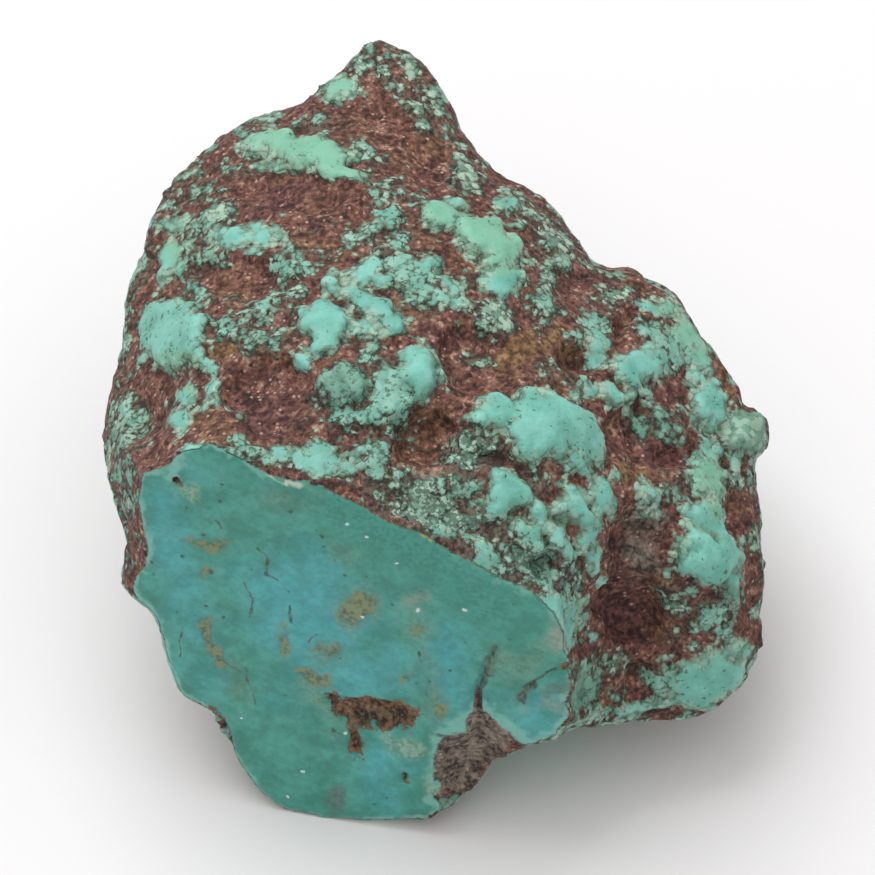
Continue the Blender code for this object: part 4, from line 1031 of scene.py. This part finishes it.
# A crust begins and is sound between these depths inside its border. Gaps show from this far outside the
# border that is drawn, in turquoise that is this broken.
CRUST_STEP, SOUND_STEP = (-0.12, 0.16), (0.25, 1.00)
GAP_STEP, BROKEN_STEP = (-0.8, 0.3), (0.1, 0.6)

# The sawn face. It begins between these depths under its plane, and noise moves them by up to half the
# wobble. Its holes and grooves belong to it from this far in from its rim.
SAW_STEP, SAW_WOBBLE = (-0.22, -0.12), 0.12
HOLE_STEP = (0.5, 0.9)
CUT_GREEN = colour(50, 136, 120), colour(74, 163, 148)
CUT_BLUE = colour(62, 159, 163), colour(80, 178, 183)
CUT_STREAK = colour(46, 92, 80)
CUT_PIT = colour(48, 92, 80)
CUT_RIM = colour(138, 200, 184)
CUT_HOLE = colour(44, 32, 24), colour(118, 98, 70)
# Cracks, and the painted shadow line in the brown hole.
CUT_CRACK_AND_SHADOW = colour(34, 36, 30), colour(96, 100, 82)
CUT_CHIP = colour(206, 212, 196)
CUT_SPOTS = [
    (DARK_SPOTS, colour(48, 84, 72)), (WHITE_SPOTS, colour(214, 232, 218)),
    (YELLOW_SPOTS, colour(190, 160, 84)),
]
# Tints of the sawn face's patches: where they begin and where they are full, in millimetres inside the
# border, how strong they are, and their dark and their light colour.
CUT_TINTS = {
    "teal": (-1.5, 2.0, 0.80, colour(40, 127, 111), colour(60, 150, 134)),
    "stain": (-0.8, 1.0, 0.50, colour(80, 112, 88), colour(120, 146, 118)),
    "pale": (-0.2, 0.8, 0.70, colour(98, 132, 104), colour(146, 178, 156)),
    # Pink: partly a stain, partly a painted reflection on the polished knob.
    "pink_stain_and_sheen": (-0.5, 0.8, 0.65, colour(128, 142, 132), colour(166, 162, 150)),
    "grey": (-0.2, 0.4, 0.70, colour(72, 96, 90), colour(96, 116, 108)),
    "olive": (-0.25, 0.30, 0.85, colour(70, 84, 56), colour(126, 134, 90)),
}
# Noise moves the tints' borders by up to half of these: the soft drift of most, the raggedness of some, and
# the finer raggedness of olive ones and of the brown holes.
TINT_DRIFT, TINT_RAGGED = 3.0, 1.6
OLIVE_RAGGED, HOLE_RAGGED = 0.5, 0.6
# A sum of the grains' noise and the crumbs' noise chooses between their two colours.
CUT_SHARES, CUT_GRAIN_FADE = (0.6, 0.4), (0.40, 0.58)
# A brown hole's border, and the shares of its own brown and of the matrix's relief in it.
HOLE_BORDER, HOLE_BROWN, HOLE_RELIEF = (-0.05, 0.12), 0.65, 0.6
# The borders of spots, in radii, and of lines, in half widths, and how strong they are at most.
SPOT_FADE, SPOT_MOST = (0.7, 1.3), 0.85
LINE_FADE, LINE_MOST, LINE_RAGGED = (0.3, 1.5), 0.75, 4.5
# Where green turns to blue, and by how much noise moves that. Then the clouds, the streaks, the pits, which
# only some cells have, and the paler band along the rim with its raggedness.
BLUE_STEP, BLUE_DRIFT = (-2.6, 2.2), 9.0
CLOUD_FADE, STREAK_STEP = (0.34, 0.66), (0.40, 0.62, 0.20, 0.0)
PIT_STEP, PIT_DRAWS = (0.05, 0.13, 0.7, 0.0), (0.45, 0.46)
RIM_STEP, RIM_RAGGED = (0.10, 0.45, 0.55, 0.0), 1.2

# How rough the surfaces are, and the sawn face's normal on the stone's own axes.
ROUGH_MATRIX, ROUGH_TURQUOISE, SMOOTH_CUT = 0.85, 0.60, 0.40
SAW_NORMAL = tuple(SAWN_NORMAL @ AXES)

# The finish's noise, finest first: the size of its hills, in millimetres, its detail and its roughness.
GRAINS = (0.40, 2.0, 0.55)
STREAKS = (0.7, 3.0, 0.6)
CRUMBS = (1.20, 2.0, 0.5)
CLOUDS = (2.6, 4.0, 0.6)
DRIFTS = (4.0, 2.0, 0.5)
TONES = (4.5, 3.0, 0.6)
# Its rounded cells: the size of the matrix's grains and of a crust's crumbs, and the spacing of the pits.
GRAIN_CELL, CRUMB_CELL, PIT_CELL = 0.36, 0.62, 1.5
# How noise pushes the place about before it is read: the noise's size and the whole reach of the push.
CRUST_BENDS, SPOT_BENDS, LINE_BENDS = (1.4, 0.45), (0.5, 0.4), (0.9, 0.5)
# Relief that only the light shows: the heights of the matrix's unevenness, of a crust from its edge
# inwards, of a crumb's bulge in the middle of a crust and what a border adds to it, of the grains on a
# crust, and of the waves that the saw left.
MATRIX_RISE = 0.14
CRUST_SWELL = (-0.1, 0.6, 0.15, 0.35)
BULGE_RISE, BORDER_RISE, GRAIN_RISE = 0.03, 0.07, 0.08
CUT_WAVES = 0.08


class Graph:
    """Short calls for a material's nodes. Each returns the socket that carries its result."""

    def __init__(self, material):
        material.use_nodes = True
        self.tree = material.node_tree
        self.shader = self.tree.nodes["Principled BSDF"]
        place = self.tree.nodes.new("ShaderNodeTexCoord").outputs["Object"]
        self.place = self.scaled(place, 1.0 / MM)
        self.past_saw = self.past_plane(self.place)
        self.bent = self.warped(*CRUST_BENDS)
        # Spots are measured from the first of these, and lines from the last, which lies on the sawn plane.
        self.spot_place = self.centred(*SPOT_BENDS)
        wobbling = self.centred(*LINE_BENDS)
        off_plane = self.scaled(SAW_NORMAL, self.past_plane(wobbling))
        self.line_place = self.vector("SUBTRACT", wobbling, off_plane)
        # Noise that all of the stone shares.
        self.grains, self.crumbs, self.clouds = (self.noise(*kind) for kind in (GRAINS, CRUMBS, CLOUDS))

    def node(self, kind, inputs=(), **settings):
        """A node with these inputs, by name or number, each a socket to link or a plain value."""
        node = self.tree.nodes.new("ShaderNode" + kind)
        for name, value in settings.items():
            setattr(node, name, value)
        for key, value in dict(inputs).items():
            if isinstance(value, bpy.types.NodeSocket):
                self.tree.links.new(value, node.inputs[key])
            else:
                node.inputs[key].default_value = value
        return node

    def attribute(self, name):
        return self.node("Attribute", attribute_name=name).outputs["Fac"]

    def math(self, operation, *values):
        return self.node("Math", dict(enumerate(values)), operation=operation).outputs[0]

    def add(self, a, b):
        return self.math("ADD", a, b)

    def times(self, a, b):
        return self.math("MULTIPLY", a, b)

    def rest(self, share):
        return self.math("SUBTRACT", 1.0, share)

    def total(self, shares, values):
        """The sum of the values, each times its share."""
        return reduce(self.add, map(self.times, values, shares))

    def between(self, share, a, b):
        """The number a where the share is 0, and b where it is 1."""
        return self.add(self.times(self.rest(share), a), self.times(share, b))

    def around(self, noise, reach):
        """Noise from 0 to 1 turned into a length from minus half the reach to half the reach."""
        return self.times(self.math("SUBTRACT", noise, 0.5), reach)

    def step(self, value, low, high, start=0.0, end=1.0):
        """start below low, end above high, and a smooth step between them."""
        inputs = {"Value": value, "From Min": low, "From Max": high, "To Min": start, "To Max": end}
        return self.node("MapRange", inputs, interpolation_type="SMOOTHSTEP").outputs["Result"]

    def mix(self, share, a, b):
        """The colour a where the share is 0, and b where it is 1."""
        return self.node("Mix", {0: share, 6: a, 7: b}, data_type="RGBA").outputs[2]

    def ramp(self, value, stops):
        """A colour by the value, through the stops."""
        node = self.node("ValToRGB", {0: value})
        elements = node.color_ramp.elements
        while len(elements) < len(stops):
            elements.new(0.5)
        for element, (place, shade) in zip(elements, stops):
            element.position, element.color = place, shade
        return node.outputs["Color"]

    def vector(self, operation, a, b, output="Vector"):
        return self.node("VectorMath", {0: a, 1: b}, operation=operation).outputs[output]

    def scaled(self, vector, factor):
        return self.node("VectorMath", {0: vector, "Scale": factor}, operation="SCALE").outputs["Vector"]

    def noise(self, size, detail, roughness):
        """Noise from 0 to 1 with hills about size millimetres apart."""
        inputs = {"Vector": self.place, "Scale": 1.0 / size, "Detail": detail, "Roughness": roughness}
        return self.node("TexNoise", inputs).outputs["Fac"]

    def cells(self, size, place):
        """Rounded cells about size millimetres across: two draws of each, and the way from its middle."""
        cells = self.node("TexVoronoi", {"Vector": place, "Scale": 1.0 / size})
        draw = self.node("SeparateColor", {"Color": cells.outputs["Color"]})
        return draw.outputs[0], draw.outputs[1], cells.outputs["Distance"]

    def warped(self, size, reach):
        """The place, pushed along each axis by up to the reach in millimetres by noise of that size."""
        inputs = {"Vector": self.place, "Scale": 1.0 / size, "Detail": 1.0}
        push = self.node("TexNoise", inputs).outputs["Color"]
        return self.vector("ADD", self.place, self.scaled(push, reach))

    def centred(self, size, reach):
        """The same, moved back by half the reach."""
        return self.vector("SUBTRACT", self.warped(size, reach), (reach / 2,) * 3)

    def past_plane(self, place):
        """How far a place stands out of the sawn face's plane."""
        arm = self.vector("SUBTRACT", place, tuple(to_stone(SAWN_POINT)))
        return self.vector("DOT_PRODUCT", arm, SAW_NORMAL, "Value")

    def to_line(self, points):
        """Distance in millimetres to a broken line through places u, v of the sawn face."""
        corners = [on_sawn_face(u, v) for u, v in points]
        gaps = []
        for start, end in zip(corners, corners[1:]):
            way = end - start
            arm = self.vector("SUBTRACT", self.line_place, tuple(start))
            along = self.vector("DOT_PRODUCT", arm, tuple(way / (way @ way)), "Value")
            share = self.node("Clamp", {"Value": along}).outputs["Result"]
            gaps.append(self.vector("DISTANCE", arm, self.scaled(tuple(way), share), "Value"))
        return reduce(lambda a, b: self.math("MINIMUM", a, b), gaps)

    def spots(self, rows):
        """How far each place belongs to one of the spots on the sawn face."""
        share = 0.0
        for u, v, radius in rows:
            gap = self.vector("DISTANCE", self.spot_place, tuple(on_sawn_face(u, v)), "Value")
            low, high = (radius * part for part in SPOT_FADE)
            share = self.math("MAXIMUM", share, self.step(gap, low, high, SPOT_MOST, 0.0))
        return share


def on_sawn_face(u, v):
    """The place on the stone's own axes of a place u, v on the sawn face's plane."""
    return to_stone(np.array([u, v, sawn_depth(u, v)]))


def stone_material():
    """The stone's one material: rough turquoise in matrix, and the sawn face where the saw passed."""
    material = bpy.data.materials.new("turquoise_in_matrix")
    g = Graph(material)
    sawn = sawn_share(g)
    matrix = brown_matrix(g)
    colours, reliefs, roughnesses = zip(rough_stone(g, *matrix), cut_stone(g, *matrix))
    height = g.times(g.between(sawn, *reliefs), MM)
    bump = g.node("Bump", {"Height": height, "Strength": 1.0, "Distance": 1.0})
    inputs = g.shader.inputs
    g.tree.links.new(g.mix(sawn, *colours), inputs["Base Color"])
    g.tree.links.new(g.between(sawn, *roughnesses), inputs["Roughness"])
    g.tree.links.new(bump.outputs["Normal"], inputs["Normal"])
    return material


def sawn_share(g):
    """How far each place belongs to the sawn face: all near its plane, and its holes and grooves."""
    on_plane = g.step(g.add(g.past_saw, g.around(g.grains, SAW_WOBBLE)), *SAW_STEP)
    hole = g.times(g.attribute("sawn"), g.step(g.attribute("cut_rim"), *HOLE_STEP))
    return g.math("MAXIMUM", on_plane, hole)


def brown_matrix(g):
    """The brown matrix, grain by grain: its colour and its relief in millimetres."""
    draw, chance, out = g.cells(GRAIN_CELL, g.place)
    shade = g.total(SHADE_SHARES, (g.grains, g.crumbs, draw))
    base, drift = g.ramp(shade, BROWNS), g.step(g.noise(*DRIFTS), *OCHRE_DRIFT)
    for kind, (low, high, most, *tones) in MATRIX_KINDS.items():
        share = g.times(g.attribute(kind), most)
        if kind == "ochre":
            share = g.math("MAXIMUM", drift, share)
        base = g.mix(share, base, g.mix(g.step(shade, low, high), *tones))
    chosen = g.step(g.add(chance, g.times(g.attribute("sandy"), SANDY_MORE)), *SAND_DRAWS)
    relief = g.add(g.times(shade, MATRIX_RISE), g.step(out, *SAND_SWELL))
    return g.mix(g.times(chosen, g.step(out, *SAND_SHINE)), base, SAND_GRAIN), relief


def crust_depth(g, drawn, broken, draw, bulge):
    """How far inside a crust each place lies: as drawn, and frayed crumb by crumb where it is broken."""
    spread = g.add(FRAY_LEAST, g.times(broken, FRAY_BROKEN))
    frayed = g.add(g.around(draw, g.times(spread, DRAW_SHARE)), g.times(bulge, spread))
    frayed = g.add(frayed, g.around(g.crumbs, g.times(spread, CRUMB_SHARE)))
    solid = g.step(broken, *SPREAD_STEP)
    return g.add(g.add(drawn, solid), g.add(frayed, g.around(g.grains, GRAIN_FRAY)))


def turquoise_colour(g, looks, hollow, outer, chance, out):
    """The colour of rough turquoise."""
    broken, pale, dusky = looks
    fresh = g.mix(g.step(g.clouds, *TONE_FADE), *FRESH)
    fresh = g.mix(g.times(g.attribute("greenish"), GREENISH_MOST), fresh, GREENISH)
    # Painted shade: in a hollow turquoise turns a darker green.
    fresh = g.mix(g.step(hollow, *PAINTED_SHADE_STEP), fresh, PAINTED_SHADE_GREEN)
    crumb = g.mix(g.step(chance, 0.0, 1.0), *CRUMB)
    stone = g.mix(g.math("MAXIMUM", pale, g.times(outer, CRUMB_MOST)), fresh, crumb)
    stone = g.mix(g.times(dusky, DUSKY_MOST), stone, g.mix(g.step(g.crumbs, *TONE_FADE), *DUSKY))
    # Painted highlight: on a hump turquoise turns pale.
    stone = g.mix(g.step(hollow, *PAINTED_HIGHLIGHT_STEP), stone, PAINTED_HIGHLIGHT)
    # Painted shade in the clefts where crumbs end.
    cleft_shade = g.times(g.step(out, *CLEFT_SHADE_STEP), g.add(CLEFT_SHADE_LEAST, g.times(outer, CLEFT_SHADE_MORE)))
    stone = g.mix(cleft_shade, stone, CLEFT_SHADE)
    speck = g.step(g.total(SPECK_SHARES, (g.grains, g.clouds, broken)), *SPECK_STEP)
    return g.mix(speck, stone, SPECK)


def rough_stone(g, matrix, matrix_relief):
    """Turquoise in brown matrix: its colour, its relief in millimetres and its roughness."""
    looks = [g.attribute(name) for name in LOOK_MEASURES]
    broken, drawn, hollow = looks[0], g.attribute("turquoise"), g.attribute("hollow")
    draw, chance, out = g.cells(CRUMB_CELL, g.bent)
    bulge = g.math("SUBTRACT", 0.5, out)
    inside = crust_depth(g, drawn, broken, draw, bulge)
    crust, outer = g.step(inside, *CRUST_STEP), g.rest(g.step(inside, *SOUND_STEP))

    gap = g.mix(g.step(g.grains, *GAP_FADE), *GAP)
    ground = g.mix(g.times(g.step(drawn, *GAP_STEP), g.step(broken, *BROKEN_STEP)), matrix, gap)
    base = g.mix(crust, ground, turquoise_colour(g, looks, hollow, outer, chance, out))
    # Painted shade deep in hollows.
    base = g.mix(g.step(hollow, *DEEP_STEP), base, DEEP)
    bulge_rise = g.times(bulge, g.add(BULGE_RISE, g.times(outer, BORDER_RISE)))
    relief = g.add(g.step(inside, *CRUST_SWELL), bulge_rise)
    relief = g.add(relief, g.times(g.grains, GRAIN_RISE))
    roughness = g.step(crust, 0.0, 1.0, ROUGH_MATRIX, ROUGH_TURQUOISE)
    return base, g.between(crust, matrix_relief, relief), roughness


def cut_stone(g, matrix, matrix_relief):
    """The sawn face: its colour, its relief in millimetres and its roughness."""
    base = cut_ground(g)
    drift, ragged = g.around(g.clouds, TINT_DRIFT), g.around(g.crumbs, TINT_RAGGED)
    grain = g.step(g.total(CUT_SHARES, (g.grains, g.crumbs)), *CUT_GRAIN_FADE)
    olive = g.add(ragged, g.around(g.grains, OLIVE_RAGGED))
    borders = {"pale": g.add(drift, ragged), "grey": ragged, "olive": olive}
    for kind, (low, high, most, *tones) in CUT_TINTS.items():
        inside = g.add(g.attribute("cut_" + kind), borders.get(kind, drift))
        base = g.mix(g.step(inside, low, high, 0.0, most), base, g.mix(grain, *tones))
    for rows, shade in CUT_SPOTS:
        base = g.mix(g.spots(rows), base, shade)
    inside = g.add(g.attribute("cut_brown"), g.add(ragged, g.around(g.grains, HOLE_RAGGED)))
    brown = g.step(inside, *HOLE_BORDER)
    base = g.mix(brown, base, g.mix(HOLE_BROWN, matrix, g.mix(grain, *CUT_HOLE)))
    for lines, shade in ((CUT_LINES, g.mix(grain, *CUT_CRACK_AND_SHADOW)), (CHIP_LINES, CUT_CHIP)):
        for half_width, points in lines:
            gap = g.add(g.to_line(points), g.around(g.crumbs, LINE_RAGGED * half_width))
            low, high = (half_width * part for part in LINE_FADE)
            base = g.mix(g.step(gap, low, high, LINE_MOST, 0.0), base, shade)
    relief = g.add(g.times(g.clouds, CUT_WAVES), g.times(brown, g.times(matrix_relief, HOLE_RELIEF)))
    return base, relief, g.step(brown, 0.0, 1.0, SMOOTH_CUT, ROUGH_MATRIX)


def cut_ground(g):
    """The colour of the sawn face's turquoise, paler along its rim, with its fine pits."""
    blue = g.step(g.add(g.attribute("cut_blue"), g.around(g.noise(*TONES), BLUE_DRIFT)), *BLUE_STEP)
    cloud = g.step(g.clouds, *CLOUD_FADE)
    base = g.mix(blue, g.mix(cloud, *CUT_GREEN), g.mix(cloud, *CUT_BLUE))
    base = g.mix(g.step(g.noise(*STREAKS), *STREAK_STEP), base, CUT_STREAK)
    _, chance, out = g.cells(PIT_CELL, g.bent)
    base = g.mix(g.times(g.step(out, *PIT_STEP), g.step(chance, *PIT_DRAWS)), base, CUT_PIT)
    rim = g.step(g.add(g.attribute("cut_rim"), g.around(g.crumbs, RIM_RAGGED)), *RIM_STEP)
    return g.mix(rim, base, CUT_RIM)


# ----------------------------------------
# The picture
# ----------------------------------------

FLOOR_WIDTH = 4000.0
FLOOR_COLOUR, FLOOR_ROUGHNESS = colour(236, 235, 237), 0.9
ROOM_COLOUR, ROOM_LIGHT = colour(244, 241, 238), 0.58
# Square lights, turned to a point in the stone: place and width in millimetres, and power in watts.
LIT_POINT = (0.0, 0.0, 15.0)
LIGHTS = {
    "key": ((-200.0, 300.0, 740.0), 600.0, 4.05),
    "overhead": ((0.0, -160.0, 760.0), 800.0, 1.9),
}


def in_scene(name, data):
    """A new object in the scene, with this data."""
    thing = bpy.data.objects.new(name, data)
    bpy.context.scene.collection.objects.link(thing)
    return thing


def add_camera():
    """The camera, square to the drawing plane."""
    data = bpy.data.cameras.new("camera")
    data.sensor_width = SENSOR
    data.lens = SENSOR * CAMERA_DISTANCE / PICTURE_WIDTH
    camera = in_scene("camera", data)
    camera.location = (ORIGIN + CAMERA_DISTANCE * OUT) * MM
    camera.rotation_euler = Matrix(AXES.T.tolist()).to_euler()
    bpy.context.scene.camera = camera


def add_light(name, place, width, power):
    """A square light, turned to the lit point."""
    data = bpy.data.lights.new(name, "AREA")
    data.size, data.energy = width * MM, power
    light = in_scene(name, data)
    light.location = Vector(place) * MM
    light.rotation_euler = (Vector(place) - Vector(LIT_POINT)).to_track_quat("Z", "Y").to_euler()


def add_room():
    """The pale paper under the stone, and the even light of the room."""
    bpy.ops.mesh.primitive_plane_add(size=FLOOR_WIDTH * MM)
    floor = bpy.context.object
    floor.name = "floor"
    material = bpy.data.materials.new("white_paper")
    material.use_nodes = True
    shader = material.node_tree.nodes["Principled BSDF"]
    shader.inputs["Base Color"].default_value = FLOOR_COLOUR
    shader.inputs["Roughness"].default_value = FLOOR_ROUGHNESS
    floor.data.materials.append(material)
    world = bpy.data.worlds.new("room")
    world.use_nodes = True
    world.node_tree.nodes["Background"].inputs["Color"].default_value = ROOM_COLOUR
    world.node_tree.nodes["Background"].inputs["Strength"].default_value = ROOM_LIGHT
    bpy.context.scene.world = world
    bpy.context.scene.view_settings.view_transform = "Standard"


def main():
    """Builds the stone and the room round it."""
    stone = in_scene("nugget_skin", nugget_mesh())
    stone.data.materials.append(stone_material())
    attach(stone, "root")
    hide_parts("nugget")
    add_room()
    for name, light in LIGHTS.items():
        add_light(name, *light)
    add_camera()


main()
